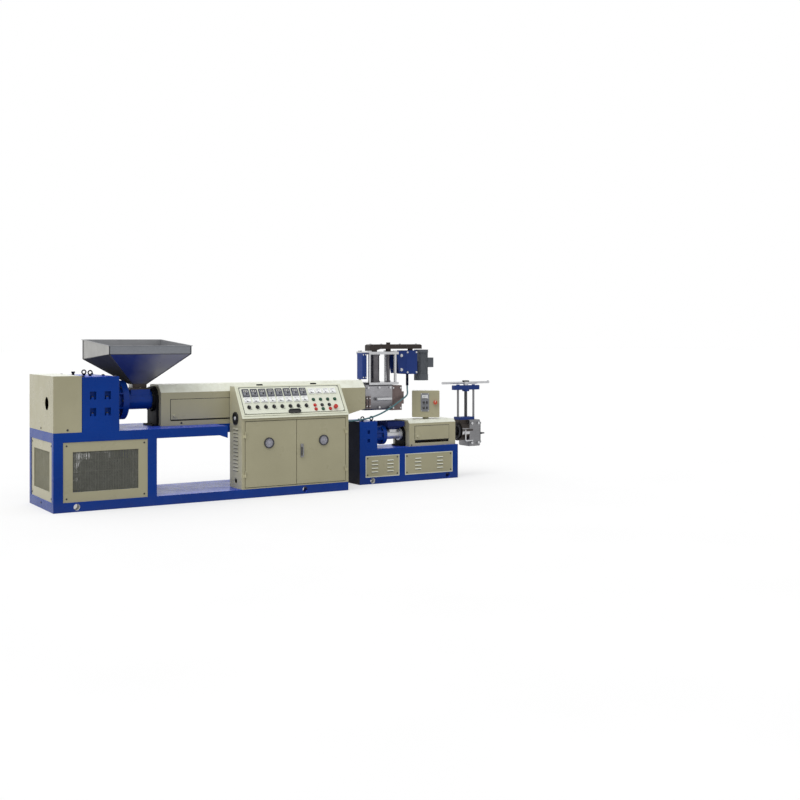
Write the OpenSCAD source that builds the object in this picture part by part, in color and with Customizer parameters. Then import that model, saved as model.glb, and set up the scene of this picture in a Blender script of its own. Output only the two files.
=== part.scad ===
// Two-stage plastic extruder: a belt-driven first stage with feed hopper, control cabinet and
// motor-driven screen changer, and a small second stage with a hand-screw screen changer.
// X runs along the screws from the belt guard to the strand die, Y to the back, Z up.

/* [Main base] */
// Length of the main base
base_l = 3120; // [3000:10:3300]
// Depth of the main base, front to back
base_d = 850; // [820:5:900]
// Height of the main base
base_h = 740; // [700:5:780]
// Side of the square frame tube
rail_w = 90; // [80:1:100]
// Length of the motor bay, over its posts
motor_bay_l = 995; // [940:5:1050]
// Thickness of the deck plates
deck_t = 8; // [5:1:12]
// Diameter of the lifting bar holes
lift_hole_d = 60; // [40:1:62]

/* [Motor and belts] */
// Diameter of the main motor's body
motor_d = 300; // [260:5:340]
// Length of the main motor
motor_l = 430; // [380:5:460]
// Height of the motor shaft above the lower deck
motor_shaft_h = 225; // [210:5:240]
// Diameter of the motor pulley
motor_pulley_d = 160; // [120:5:180]
// Diameter of the gearbox pulley
gearbox_pulley_d = 290; // [240:5:320]
// Length of the belt guard along the line
belt_guard_l = 264; // [250:1:290]
// Height of the belt guard
belt_guard_h = 527; // [515:1:580]

/* [Gearbox and feed] */
// Length of the main gearbox along the line
gearbox_l = 365; // [340:1:390]
// Height of the main gearbox
gearbox_h = 515; // [500:1:560]
// Distance from the base's front to the gearbox's input shaft
input_y = 225; // [215:1:240]
// Distance between the gearbox's input shaft and the screw
gear_centres = 280; // [270:1:290]
// Height of the screw above the base
screw_h = 265; // [255:1:280]
// Diameter of the bearing housing
housing_d = 300; // [280:1:320]
// Diameter of the bearing housing's flange
housing_flange_d = 388; // [370:1:410]
// Length of the bearing housing with its flange
housing_l = 201; // [180:1:220]
// Length of the feed section
feed_l = 295; // [285:1:320]
// Outer diameter of the feed section
feed_d = 195; // [185:1:205]
// Diameter of the screw over its flight
screw_d = 118; // [100:1:124]

/* [Hopper] */
// Length of the hopper over its rim, along the line
hopper_l = 850; // [790:2:880]
// Depth of the hopper over its rim
hopper_d = 880; // [820:2:920]
// Height of the hopper's rim above the neck, at the front
hopper_front_h = 385; // [350:1:420]
// Height of the hopper's rim above the neck, at the back
hopper_back_h = 445; // [425:1:480]
// Height of the upright band at the front
band_front_h = 82; // [60:1:110]
// Height of the upright band at the back
band_back_h = 199; // [170:1:230]
// Thickness of the hopper's sheet
hopper_t = 3; // [2:0.5:5]

/* [Barrel and cover] */
// Diameter of the main barrel
barrel_d = 165; // [150:1:175]
// Width of the barrel cover
cover_w = 380; // [360:2:390]
// Height of the barrel cover
cover_h = 412; // [400:1:440]
// Height at which the cover's shoulder starts to lean in
cover_shoulder_h = 334; // [300:1:345]
// Width of the cover's leaning shoulder
cover_shoulder_w = 78; // [60:1:90]
// Length of the cover beyond the base
cover_overhang = 391; // [360:1:410]
// Rise of the cover's lower edge over its overhang
cover_rise = 100; // [70:1:115]
// Thickness of the cover sheets
sheet_t = 4; // [3:0.5:6]

/* [Control cabinet] */
// Length of the control cabinet
cabinet_l = 1232; // [1200:2:1260]
// Depth of the control cabinet
cabinet_d = 300; // [290:1:305]
// Height of the control cabinet
cabinet_h = 1037; // [1010:1:1060]
// Height of the console's lower edge above the cabinet's floor
console_h = 715; // [712:1:740]
// Depth of the flat top behind the console
cabinet_top_d = 112; // [100:1:125]
// Height of the cabinet doors
door_h = 665; // [640:1:670]
// Thickness of the cabinet doors
door_t = 20; // [15:1:25]
// Gap around each door
door_gap = 6; // [5.5:0.5:8]
// Diameter of the hinge knuckles
hinge_d = 14; // [12:1:16]

/* [Screen changer] */
// Length of the screen changer's block
changer_l = 350; // [330:2:380]
// Width of the screen changer's block
changer_w = 290; // [270:2:300]
// Height of the screen changer's block
changer_block_h = 282; // [270:1:300]
// Length of the discharge die
discharge_l = 140; // [120:1:160]
// Height of the columns above the block
column_h = 340; // [320:1:360]
// Diameter of the columns
column_d = 32; // [26:1:38]
// Thickness of the top plate
top_plate_t = 30; // [24:1:36]
// Length of the chain guard over both sprockets
chain_guard_l = 696; // [680:2:720]
// Diameter of the changer's motor
changer_motor_d = 165; // [150:1:180]
// Height of the changer's motor
changer_motor_h = 355; // [330:1:370]

/* [Second stage] */
// Gap between the two bases
stage_gap = 313; // [300:1:330]
// Length of the second base
second_l = 1316; // [1290:2:1360]
// Depth of the second base
second_d = 410; // [400:2:430]
// Height of the second base
second_h = 388; // [370:1:400]
// Side of the second base's square tube
second_rail_w = 75; // [66:1:80]
// Length of the second gearbox
second_gearbox_l = 230; // [215:1:245]
// Height of the second gearbox
second_gearbox_h = 307; // [295:1:315]
// Height of the second screw above its base
second_screw_h = 135; // [125:1:145]
// Length of the second feed section
second_feed_l = 225; // [210:1:240]
// Diameter of the second feed section
second_feed_d = 106; // [100:1:112]
// Width of the second barrel cover
second_cover_w = 350; // [330:2:370]
// Height of the second barrel cover
second_cover_h = 297; // [280:1:310]
// Length of the control box
control_box_l = 318; // [300:2:340]
// Height of the control box
control_box_h = 307; // [290:1:320]

/* [Hand screen changer] */
// Length of the hand changer's block
hand_block_l = 255; // [240:1:280]
// Width of the hand changer's block
hand_block_w = 220; // [200:1:240]
// Height of the hand changer's block
hand_block_h = 312; // [290:1:330]
// Height of the guide rods above the seat plate
guide_rod_h = 320; // [300:1:350]
// Distance between the guide rods
guide_rod_gap = 224; // [210:1:234]
// Diameter of the turn bar's screw
turn_screw_d = 36; // [30:1:40]
// Length of the turn bar
turn_bar_l = 677; // [620:1:720]

/* [Hidden] */
$fn = 48;
// Overrun of every cut past the face it opens
over = 5;
// Gap between a turned piece and the hole that it sits in
fit_gap = 0.3;

// Main base
lift_inset = 128;
lift_mid_gap = 101;
base_top = base_h;
lower_deck = rail_w;
cabinet_x = base_l - cabinet_l;
axis_y = input_y + gear_centres;
axis_z = base_top + screw_h;
bed_y = axis_y - cover_w / 2;
mid_post_x = base_l - cabinet_l / 2;
cabinet_clear = 153;
top_frame_end = cabinet_x - cabinet_clear;
gusset_l = 85;
gusset_h = 30;
gusset_t = 10;

// Motor bay guards and wire grilles
bay_post_d = 58;
guard_set = 6;
guard_t = 6;
guard_margin = 92;
wire_d = 4;
wire_pitch = 24;
wire_lap = 20;
cross_wires = 3;
wire_bite_share = 0.75;

// Motor, pulleys and belts
pulley_x = 104;
pulley_l = 124;
belt_count = 4;
belt_w = 20;
belt_t = 10;
belt_slot_gap = 24;
motor_z = lower_deck + motor_shaft_h;
motor_gap = 66;
motor_x = belt_guard_l + motor_gap;
motor_shield_l = 30;
motor_cowl_l = 110;
motor_shield_share = 0.86;
motor_frame_share = 0.9;
motor_fins = 24;
motor_fin_t = 8;
fin_set = 4;
motor_foot_w = 60;
motor_foot_gap = 230;
motor_foot_t = 22;
motor_web_t = 28;
terminal_l = 130;
terminal_w = 110;
terminal_h = 100;
shaft_d = 48;
pulley_hub_d = 90;
input_hole_d = 125;
guard_sheet_t = 3;

// Gearbox
gearbox_x = belt_guard_l;
gearbox_edge_r = 18;
pocket_w = 60;
pocket_h = 76;
pocket_depth = 40;
pocket_column_shares = [0.295, 0.68];
pocket_row_shares = [0.36, 0.66];
bolt_boss_d = 34;
bolt_boss_h = 22;

// Lifting eyes and breather
eye_d = 52;
eye_wire_d = 13;
eye_foot_d = 30;
eye_foot_h = 10;
eye_y_shares = [0.4, 0.64];
second_eye_x_shares = [0.3, 0.8];
second_eye_y_share = 0.15;
breather_d = 26;
breather_cap_d = 36;
breather_h = 30;
breather_cap_h = 14;
breather_x_share = 0.25;
breather_y_share = 0.7;

// Bearing housings
housing_x = gearbox_x + gearbox_l;
housing_flange_t = 60;
housing_ribs = 8;
housing_rib_t = 16;

// Feed section and screw
feed_x = housing_x + housing_l;
feed_left_flange_t = 25;
feed_left_flange_d = 250;
feed_right_flange_t = 28;
feed_right_flange_d = 250;
feed_bore_gap = 1;
throat_l = 140;
throat_w = 112;
throat_wall = 28;
throat_rise = 5;
block_l = throat_l + 2 * throat_wall;
block_w = throat_w + 2 * throat_wall;
throat_top = axis_z + feed_d / 2 + throat_rise;
hopper_x = feed_x + feed_l / 2;
screw_root_share = 0.68;
flight_angle = 46;
flight_turns = 2.5;
flight_steps = 12;

// Hopper and neck
neck_flange_t = 14;
neck_flange_w = 26;
neck_h = 40;
neck_z = throat_top + neck_flange_t + neck_h;
hopper_shift = -13;
lip_w = 14;
lip_t = 5;

// Barrel, support and cover
barrel_x = feed_x + feed_l;
barrel_flange_d = 262;
barrel_flange_t = 26;
support_t = 27;
support_w = 262;
support_foot_l = 70;
support_foot_t = 16;
cover_x = barrel_x + support_t;
cover_end = base_l + cover_overhang;
cover_flange_gap = 3;
barrel_end = cover_end + cover_flange_gap + barrel_flange_t;
cover_door_x = 102;
cover_door_l = 1060;
cover_door_z = 62;
cover_door_h = 201;
cover_door_lap = 14;
cover_door_t = 5;
cover_slot_h = 12;
cover_slot_gap = 3;
cover_end_hole_gap = 6;
knob_d = 26;
knob_h = 16;
knob_inset = 36;

// Control cabinet
stile_w = 33;
front_frame_t = door_t;
sill_h = 17;
console_lip = 16;
console_t = 4;
console_rise = cabinet_h - console_h;
console_run = cabinet_d - cabinet_top_d + console_lip;
console_slope = atan2(console_rise, console_run);
console_len = norm([console_rise, console_run]);
cabinet_top_z = lower_deck + cabinet_h;
console_z = lower_deck + console_h;
plate_side = 36;
plate_bottom = 46;
plate_top_gap = 18;
plate_t = 3;
plate_l = cabinet_l - 2 * plate_side;
plate_h = console_len - plate_bottom - plate_top_gap;
border_w = 14;
border_t = 6;
border_gap = 5;
latch_pad_l = 60;
latch_pad_w = 26;
latch_pad_h = 14;
latch_pad_shares = [0.25, 0.76];
louvre_count = 12;
louvre_pitch = 38;
louvre_z = 180;
louvre_l = 120;
louvre_h = 16;
louvre_out = 9;
cable_port_d = 55;
cable_port_z = 74;
side_fan_d = 130;
side_fan_z = 712;
vent_d = 110;
vent_h = 12;
vent_ring_w = 11;
vent_rings = 3;
vent_hub_d = 22;
vent_spoke_t = 5;
vent_z_share = 0.665;
vent_x_share = 0.455;

// Console instruments, placed as shares of the instrument plate
left_columns = 8;
left_column_start_share = 0.056;
left_column_pitch_share = 0.0805;
right_column_shares = [0.707, 0.78, 0.854, 0.927];
controller_row_share = 0.77;
meter_row_share = 0.52;
switch_row_share = 0.255;
right_meter_row_share = 0.79;
lamp_row_share = 0.47;
button_row_shares = [0.26, 0.11];
controller_w = 72;
controller_h = 92;
controller_out = 12;
meter_w = 72;
meter_h = 62;
meter_out = 10;
meter_glass_inset = 6;
meter_glass_out = 3;
switch_d = 42;
switch_base_out = 8;
switch_grip_l = 34;
switch_grip_w = 12;
switch_grip_out = 22;
button_d = 30;
button_out = 12;
button_ring_d = 38;
button_ring_out = 5;
stop_d = 46;
stop_neck_d = 26;
stop_out = 34;
stop_head_out = 16;
stop_x_share = 0.905;
stop_y_share = 0.15;
pull_l = 140;
pull_w = 46;
pull_out = 16;
pull_rim = 8;
pull_y_share = 0.06;
pull_x_share = 0.487;

// Cabinet doors, hinges and latch
door_skin_t = 3;
door_z = lower_deck + sill_h;
door_left_x = cabinet_x + stile_w;
door_right_x = base_l - stile_w;
door_w = (door_right_x - door_left_x - 3 * door_gap) / 2;
hinge_front = hinge_d / 2 + 1;
hinge_knuckle_h = 30;
hinge_knuckle_gap = 0.5;
hinge_pin_d = 7;
hinge_pin_h = 24;
hinge_leaf_w = 24;
hinge_leaf_t = 3;
hinge_z_shares = [0.2, 0.8];
latch_w = 32;
latch_h = 140;
latch_base_out = 8;
latch_out = 34;
latch_grip_w = 14;
latch_x = 58;
latch_z_share = 0.52;

// Screen changer
changer_x = barrel_end;
changer_drop = 190;
changer_z = axis_z - changer_drop;
changer_top = changer_z + changer_block_h;
changer_edge = 16;
melt_pipe_d = 36;
melt_pipe_l = 190;
melt_pipe_out = 34;
melt_pipe_z = 125;
melt_pipe_share = 0.63;
melt_pipe_post_w = 24;
flange_bar_l = 22;
flange_bar_t = 12;
flange_bar_x_shares = [0.045, 0.15];
flange_bar_z_shares = [0.08, 0.56];
discharge_w = 250;
discharge_h = 280;
discharge_drop = 10;
outlet_l = 70;
outlet_w = 130;
outlet_depth = 60;
clamp_bar_l = 26;
column_x_inset = 74;
column_x_over = 62;
column_y_inset = 38;
column_cap_d = 46;
column_cap_h = 12;
column_xs = [changer_x + column_x_inset, changer_x + changer_l + column_x_over];
plate_edge = 24;
plate_x0 = column_xs[0] - plate_edge;
plate_x1 = column_xs[1] + plate_edge;
foot_plate_t = 26;
jack_ds = [110, 38];
jack_x_shares = [0.38, 0.92];
jack_xs = [for (share = jack_x_shares) column_xs[0] + (column_xs[1] - column_xs[0]) * share];
jack_collar_t = 14;
jack_collar_w = 8;
top_plate_z = changer_top + column_h;
drive_box_l = 58;
drive_box_w = 126;
drive_box_front = 93;
drive_box_h = 292;
drive_box_drop = 276;
drive_box_edge = 8;
chain_guard_h = 52;
chain_guard_w = 110;
chain_guard_gap = 30;
chain_guard_z = top_plate_z + top_plate_t + chain_guard_gap;
chain_boss_d = 60;
chain_end_l = 70;
chain_end_h = 22;
chain_start = 110;
motor_boss_share = 0.78;
reducer_l = 150;
reducer_w = 210;
reducer_h = 270;
reducer_gap = 129;
reducer_rise = 12;
reducer_top = top_plate_z + top_plate_t + reducer_rise;
reducer_x = plate_x1 + reducer_gap;
bracket_t = 16;
bracket_slant = 42;
bracket_hole_d = 30;
bracket_hole_x_share = 0.52;
bracket_hole_z_shares = [0.21, 0.81];
changer_motor_x = reducer_x + reducer_l;
motor_flange_l = 34;
changer_motor_fins = 16;
changer_motor_fin_t = 6;
changer_motor_fin_out = 10;
changer_cowl_h = 70;
changer_terminal_l = 60;
changer_terminal_w = 90;
changer_terminal_h = 112;
changer_terminal_drop = 59;

// Drive cable: its glands on the reducer and the cabinet, and the route between them
cable_d = 18;
cable_sides = 10;
gland_d = 30;
gland_x = 35;
gland_y = 40;
gland_h = 130;
cabinet_gland_h = 32;
cabinet_gland_back = 38;
cabinet_gland_z = 624;
cable_points = [
    [1020, 440, 1079], [1020, 440, 1050], [1016, 431, 1022], [1005, 411, 998], [986, 387, 979],
    [960, 364, 965], [930, 347, 951], [894, 335, 933], [856, 330, 912], [814, 326, 888],
    [768, 323, 860], [716, 321, 832], [662, 320, 806], [604, 321, 780], [544, 324, 758],
    [482, 327, 740], [420, 328, 727], [358, 327, 718], [296, 322, 714], [234, 312, 712],
    [176, 295, 712], [122, 274, 713], [76, 262, 714], [32, 262, 714]
];
cable_route = [for (p = cable_points) p + [base_l, 0, 0]];

// Second stage
second_x = base_l + stage_gap;
second_y = axis_y - second_d / 2;
second_z = second_h + second_screw_h;
second_gearbox_edge_r = 10;
second_pocket_w = 34;
second_pocket_h = 40;
second_pocket_depth = 26;
second_pocket_column_shares = [0.5];
second_pocket_row_shares = [0.31, 0.62];
second_panel_t = 5;
second_panel_set = 2;
second_post_share = 0.42;
second_lift_insets = [92, 67];
second_mid_x = second_x + second_l * second_post_share;
second_bays = [
    [second_x + second_rail_w, second_mid_x - second_rail_w / 2],
    [second_mid_x + second_rail_w / 2, second_x + second_l - second_rail_w]
];
panel_louvre_l = 82;
panel_louvre_h = 9;
panel_louvre_out = 7;
panel_louvre_pitch = 40;
panel_louvre_rows = 4;
panel_louvre_column_shares = [0.27, 0.73];
second_housing_d = 170;
second_housing_flange_d = 216;
second_housing_l = 187;
second_housing_flange_t = 45;
second_housing_x = second_x + second_gearbox_l;
second_feed_x = second_housing_x + second_housing_l;
second_feed_collar_d = 140;
second_feed_collar_t = 22;
second_throat_w = 60;
chute_l = 220;
chute_w = 230;
chute_h = 95;
chute_flare = 40;
chute_foot_w = 90;
second_support_t = 24;
second_support_w = 190;
second_barrel_x = second_feed_x + second_feed_l;
second_cover_x = second_barrel_x + second_support_t;
second_cover_inset = 16;
second_cover_end = second_x + second_l - second_cover_inset;
second_shoulder_h = 262;
second_shoulder_w = 36;
second_barrel_d = 112;
second_barrel_flange_d = 186;
second_barrel_flange_t = 34;
second_door_x = 76;
second_door_l = 463;
second_door_z = 71;
second_door_h = 157;
vent_slot_z = 36;
vent_slot_h = 30;
control_box_d = 150;
control_stem_d = 70;
control_stem_h = 20;
control_box_z = second_h + second_cover_h + control_stem_h;
control_box_x_share = 0.53;
control_box_turn = -32;
control_box_edge_r = 10;
control_panel_l = 96;
control_panel_h = 210;
control_panel_t = 6;
control_panel_x_share = 0.47;
control_panel_z_share = 0.56;
control_meter_rows = 3;
control_meter_h = 46;
control_meter_w = 72;
control_meter_pitch = 62;
control_meter_out = 6;
control_knob_d = 46;
control_knob_out = 34;
control_knob_x_share = 0.845;
control_knob_z_share = 0.56;

// Hand screen changer
hand_gap = 131;
hand_drop = 180;
hand_x = second_x + second_l + hand_gap;
hand_z = second_z - hand_drop;
hand_top = hand_z + hand_block_h;
hand_clamp_l = 104;
hand_clamp_d = 230;
hand_block_edge = 12;
drain_pipe_r = 62;
drain_pipe_d = 20;
drain_pipe_l = 40;
drain_pipe_z_share = 0.42;
seat_plate_t = 32;
seat_plate_over = 14;
seat_plate_short = 34;
seat_plate_w = 130;
seat_top = hand_top + seat_plate_t;
guide_rod_d = 26;
turn_inset = 125;
turn_x = hand_x + turn_inset;
crossbar_h = 53;
crossbar_w = 74;
crossbar_over = 69;
crossbar_z = seat_top + guide_rod_h;
crossbar_edge_r = 12;
hub_d = 84;
hub_h = 18;
rod_nut_d = 40;
rod_nut_h = 10;
collar_d = 62;
collar_h = 14;
turn_bar_d = 28;
turn_bar_rise = 16;
turn_cap_d = 66;
turn_cap_h = 30;
grip_h = 22;
grip_d = 24;
strand_die_l = 34;
strand_die_w = 150;
strand_die_h = 250;
nozzle_d = 24;
nozzle_l = 34;
nozzle_columns = 4;
nozzle_pitch = 34;
nozzle_z_share = 0.46;

// Overall reach, which sets the origin under the middle of the part
front_y = -latch_out;
back_y = axis_y + hopper_d / 2;
origin_x = (turn_x + turn_bar_l / 2) / 2;
origin_y = (front_y + back_y) / 2;

machine_blue = "#2f4fa8";
cream = "#e9e1c2";
steel = "#b9bcbf";
dark_steel = "#4a4b50";
brown_steel = "#6b5348";
black = "#1b1b1e";

// Shared shapes
module box(lo, hi) {
    translate(lo) cube(hi - lo);
}

module along_x(x0, x1, y, z, d) {
    translate([x0, y, z]) rotate([0, 90, 0]) cylinder(h = x1 - x0, d = d);
}

module along_y(y0, y1, x, z, d) {
    translate([x, y0, z]) rotate([-90, 0, 0]) cylinder(h = y1 - y0, d = d);
}

module along_z(z0, z1, x, y, d) {
    translate([x, y, z0]) cylinder(h = z1 - z0, d = d);
}

// Carries an outline drawn in Y and Z along X
module extrude_x(x0, x1) {
    translate([x0, 0, 0]) rotate([90, 0, 90]) linear_extrude(x1 - x0) children();
}

// Carries an outline drawn in X and Z along Y
module extrude_y(y0, y1) {
    translate([0, y1, 0]) rotate([90, 0, 0]) linear_extrude(y1 - y0) children();
}

module rounded_rect(l, w, r) {
    translate([r, 0]) square([l - 2 * r, w]);
    translate([0, r]) square([l, w - 2 * r]);
    for (x = [r, l - r], y = [r, w - r]) translate([x, y]) circle(r);
}

// Outline of a slot with round ends
module stadium(l, w) {
    square([l - w, w], center = true);
    for (side = [-1, 1]) translate([side * (l - w) / 2, 0]) circle(d = w);
}

// A welded tray: square tube round the edge and at each rib, with a deck plate flush on top
module tray(lo, hi, tube, ribs) {
    difference() {
        box(lo, hi);
        for (i = [0 : len(ribs) - 2]) {
            box([ribs[i] + tube, lo[1] + tube, lo[2] - over], [ribs[i + 1], hi[1] - tube, hi[2] - deck_t]);
        }
    }
}

// A form through level outlines [half length, half depth, front height, back height, shift] round a centre
module stacked_form(centre, levels) {
    corners = [[-1, -1], [1, -1], [1, 1], [-1, 1]];
    last = len(levels) - 1;
    points = [
        for (level = levels, c = corners)
            [centre[0] + level[4] + c[0] * level[0], centre[1] + c[1] * level[1], c[1] < 0 ? level[2] : level[3]]
    ];
    sides = [
        for (l = [0 : last - 1], i = [0 : 3])
            let (j = (i + 1) % 4, a = l * 4, b = a + 4)
                each [[a + i, b + i, b + j], [a + i, b + j, a + j]]
    ];
    ends = [[0, 1, 2], [0, 2, 3], [last * 4 + 2, last * 4 + 1, last * 4], [last * 4 + 3, last * 4 + 2, last * 4]];
    polyhedron(points, concat(sides, ends));
}

// A fan of fins round an axis that points up
module fin_ring(count, t, r, h) {
    for (i = [0 : count - 1]) {
        rotate([0, 0, i * 360 / count]) translate([0, -t / 2, 0]) cube([r, t, h]);
    }
}

module eye_bolt(x, y, z) {
    translate([x, y, z]) {
        cylinder(h = eye_foot_h, d = eye_foot_d);
        translate([0, 0, eye_foot_h + eye_d / 2 - eye_wire_d / 3])
            rotate([90, 0, 0])
                rotate_extrude() translate([(eye_d - eye_wire_d) / 2, 0]) circle(d = eye_wire_d);
    }
}

// A round ventilation guard on a face that looks along -Y
module vent_guard(d) {
    rotate([90, 0, 0]) {
        difference() {
            cylinder(h = vent_h, d = d);
            translate([0, 0, vent_h / 3]) cylinder(h = vent_h, d = d - 2 * vent_ring_w);
        }
        for (i = [1 : vent_rings - 1]) {
            ring_d = (d - 2 * vent_ring_w) * i / vent_rings;
            difference() {
                cylinder(h = vent_h * 2 / 3, d = ring_d + vent_ring_w / 2);
                translate([0, 0, vent_h / 3]) cylinder(h = vent_h, d = ring_d - vent_ring_w / 2);
            }
        }
        cylinder(h = vent_h, d = vent_hub_d);
        for (a = [0, 90]) {
            rotate([0, 0, a])
                translate([-d / 2 + vent_ring_w / 2, -vent_spoke_t / 2, 0])
                    cube([d - vent_ring_w, vent_spoke_t, vent_h * 2 / 3]);
        }
    }
}

// A cast gear case with bolt pockets in its front and back faces
module gear_case(x, y, z, l, d, h, edge_r, pocket, column_shares, row_shares) {
    difference() {
        translate([x, y, z]) linear_extrude(h) rounded_rect(l, d, edge_r);
        for (cs = column_shares, rs = row_shares) {
            px = x + l * cs;
            pz = z + h * rs;
            for (py = [y - over, y + d - pocket[2]]) {
                box([px - pocket[0] / 2, py, pz - pocket[1] / 2],
                    [px + pocket[0] / 2, py + pocket[2] + over, pz + pocket[1] / 2]);
            }
        }
    }
}

// A stand with a round head that carries a barrel, bored for it
module barrel_stand(x, t, w, foot_z, centre_z, bore_d) {
    difference() {
        union() {
            extrude_x(x, x + t) {
                translate([axis_y - w / 2, foot_z]) square([w, centre_z - foot_z]);
                translate([axis_y, centre_z]) circle(d = w);
            }
            box([x - support_foot_l + t, axis_y - w / 2, foot_z],
                [x + t, axis_y + w / 2, foot_z + support_foot_t]);
        }
        along_x(x - over, x + t + over, axis_y, centre_z, bore_d);
    }
}

// Outline across a barrel cover, with leaning shoulders
module cover_outline(w, z0, shoulder_z, top_z, shoulder_w) {
    polygon([
        [axis_y - w / 2, z0], [axis_y + w / 2, z0], [axis_y + w / 2, shoulder_z],
        [axis_y + w / 2 - shoulder_w, top_z], [axis_y - w / 2 + shoulder_w, top_z], [axis_y - w / 2, shoulder_z]
    ]);
}

// Outline across a block with chamfered edges, drawn in Y and Z about the screws' upright plane
module chamfered_outline(w, z0, z1, edge) {
    polygon([
        [axis_y - w / 2 + edge, z0], [axis_y + w / 2 - edge, z0], [axis_y + w / 2, z0 + edge],
        [axis_y + w / 2, z1 - edge], [axis_y + w / 2 - edge, z1], [axis_y - w / 2 + edge, z1],
        [axis_y - w / 2, z1 - edge], [axis_y - w / 2, z0 + edge]
    ]);
}

// A window through both sides of a barrel cover
module side_window(w, x, z, l, h) {
    box([x, axis_y - w, z], [x + l, axis_y + w, z + h]);
}

// Main base
module main_sole_frame() {
    color(machine_blue) difference() {
        tray([0, 0, 0], [base_l, base_d, rail_w], rail_w,
             [0, motor_bay_l - rail_w, cabinet_x - rail_w, mid_post_x - rail_w / 2, base_l - rail_w]);
        for (x = [rail_w + lift_inset, mid_post_x + lift_mid_gap]) {
            along_y(-over, base_d + over, x, rail_w / 2, lift_hole_d);
        }
    }
}

module main_base_posts() {
    color(machine_blue) {
        for (x = [0, motor_bay_l - rail_w], y = [0, base_d - bay_post_d]) {
            box([x, y, lower_deck], [x + rail_w, y + bay_post_d, base_top - rail_w]);
        }
        for (x = [mid_post_x - rail_w / 2, base_l - rail_w], y = [bed_y, base_d - rail_w]) {
            box([x, y, lower_deck], [x + rail_w, y + rail_w, base_top - rail_w]);
        }
    }
}

module main_top_frame() {
    slot_w = gearbox_pulley_d + 2 * belt_slot_gap;
    color(machine_blue) {
        difference() {
            tray([0, 0, base_top - rail_w], [top_frame_end, base_d, base_top], rail_w,
                 [0, motor_bay_l - rail_w, top_frame_end - rail_w]);
            box([pulley_x - belt_slot_gap / 2, input_y - slot_w / 2, base_top - deck_t - over],
                [pulley_x + pulley_l + belt_slot_gap / 2, input_y + slot_w / 2, base_top + over]);
        }
        extrude_y(0, gusset_t) polygon([
            [top_frame_end - gusset_l, base_top - rail_w], [top_frame_end, base_top - rail_w],
            [top_frame_end, base_top - rail_w - gusset_h]
        ]);
    }
}

module main_barrel_bed() {
    color(machine_blue) tray([top_frame_end, bed_y, base_top - rail_w], [base_l, base_d, base_top], rail_w,
                             [top_frame_end, mid_post_x - rail_w / 2, base_l - rail_w]);
}

// A sheet guard with a window, upright in X and Z from the origin
module guard_panel(l) {
    h = base_h - 2 * rail_w;
    difference() {
        cube([l, guard_t, h]);
        translate([guard_margin, -over, guard_margin])
            cube([l - 2 * guard_margin, guard_t + 2 * over, h - 2 * guard_margin]);
    }
}

// Welded wires behind a guard's window
module wire_grille(l) {
    h = base_h - 2 * rail_w;
    span = l - 2 * guard_margin;
    rise = h - 2 * guard_margin;
    count = floor(span / wire_pitch);
    translate([guard_margin, guard_t, guard_margin]) {
        for (i = [0 : count]) {
            translate([i * span / count - wire_d / 2, 0, -wire_lap]) cube([wire_d, wire_d, rise + 2 * wire_lap]);
        }
        for (i = [1 : cross_wires]) {
            translate([-wire_lap, wire_d * wire_bite_share, i * rise / (cross_wires + 1)])
                cube([span + 2 * wire_lap, wire_d, wire_d]);
        }
    }
}

module at_side_guards() {
    translate([rail_w, guard_set, lower_deck]) children();
    translate([rail_w, base_d - guard_set, lower_deck]) mirror([0, 1, 0]) children();
}

module at_end_guards() {
    translate([guard_set, base_d - bay_post_d, lower_deck]) rotate([0, 0, -90]) children();
    translate([motor_bay_l - guard_set, bay_post_d, lower_deck]) rotate([0, 0, 90]) children();
}

module side_motor_guards() {
    color(cream) at_side_guards() guard_panel(motor_bay_l - 2 * rail_w);
}

module end_motor_guards() {
    color(cream) at_end_guards() guard_panel(base_d - 2 * bay_post_d);
}

module guard_wire_grilles() {
    color(dark_steel) {
        at_side_guards() wire_grille(motor_bay_l - 2 * rail_w);
        at_end_guards() wire_grille(base_d - 2 * bay_post_d);
    }
}

// Motor and belts
module drive_motor() {
    frame_d = motor_d * motor_frame_share;
    cowl_x = motor_x + motor_l - motor_cowl_l;
    body_x = motor_x + motor_shield_l;
    mid_x = (body_x + cowl_x) / 2;
    color(dark_steel) {
        along_x(motor_x, body_x, input_y, motor_z, motor_d * motor_shield_share);
        along_x(body_x, cowl_x, input_y, motor_z, frame_d);
        translate([body_x, input_y, motor_z]) rotate([0, 90, 0])
            fin_ring(motor_fins, motor_fin_t, motor_d / 2 - fin_set, cowl_x - body_x);
        along_x(cowl_x, motor_x + motor_l, input_y, motor_z, motor_d);
        for (side = [-1, 1]) {
            foot_y = input_y + side * motor_foot_gap / 2;
            box([body_x, foot_y - motor_foot_w / 2, lower_deck],
                [cowl_x, foot_y + motor_foot_w / 2, lower_deck + motor_foot_t]);
            box([body_x, foot_y - motor_web_t / 2, lower_deck], [cowl_x, foot_y + motor_web_t / 2, motor_z]);
        }
        box([mid_x - terminal_l / 2, input_y - terminal_w / 2, motor_z],
            [mid_x + terminal_l / 2, input_y + terminal_w / 2, motor_z + motor_d / 2 + terminal_h / 2]);
    }
}

module belt_pulleys() {
    color(steel) {
        along_x(pulley_x, pulley_x + pulley_l, input_y, motor_z, motor_pulley_d);
        along_x(pulley_x, motor_x, input_y, motor_z, shaft_d);
        difference() {
            along_x(pulley_x, pulley_x + pulley_l, input_y, axis_z, gearbox_pulley_d);
            for (x = [pulley_x - over, pulley_x + pulley_l * 2 / 3]) difference() {
                along_x(x, x + pulley_l / 3 + over, input_y, axis_z, gearbox_pulley_d - 2 * shaft_d);
                along_x(x - over, x + pulley_l, input_y, axis_z, pulley_hub_d);
            }
        }
        along_x(pulley_x, gearbox_x, input_y, axis_z, shaft_d);
    }
}

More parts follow.
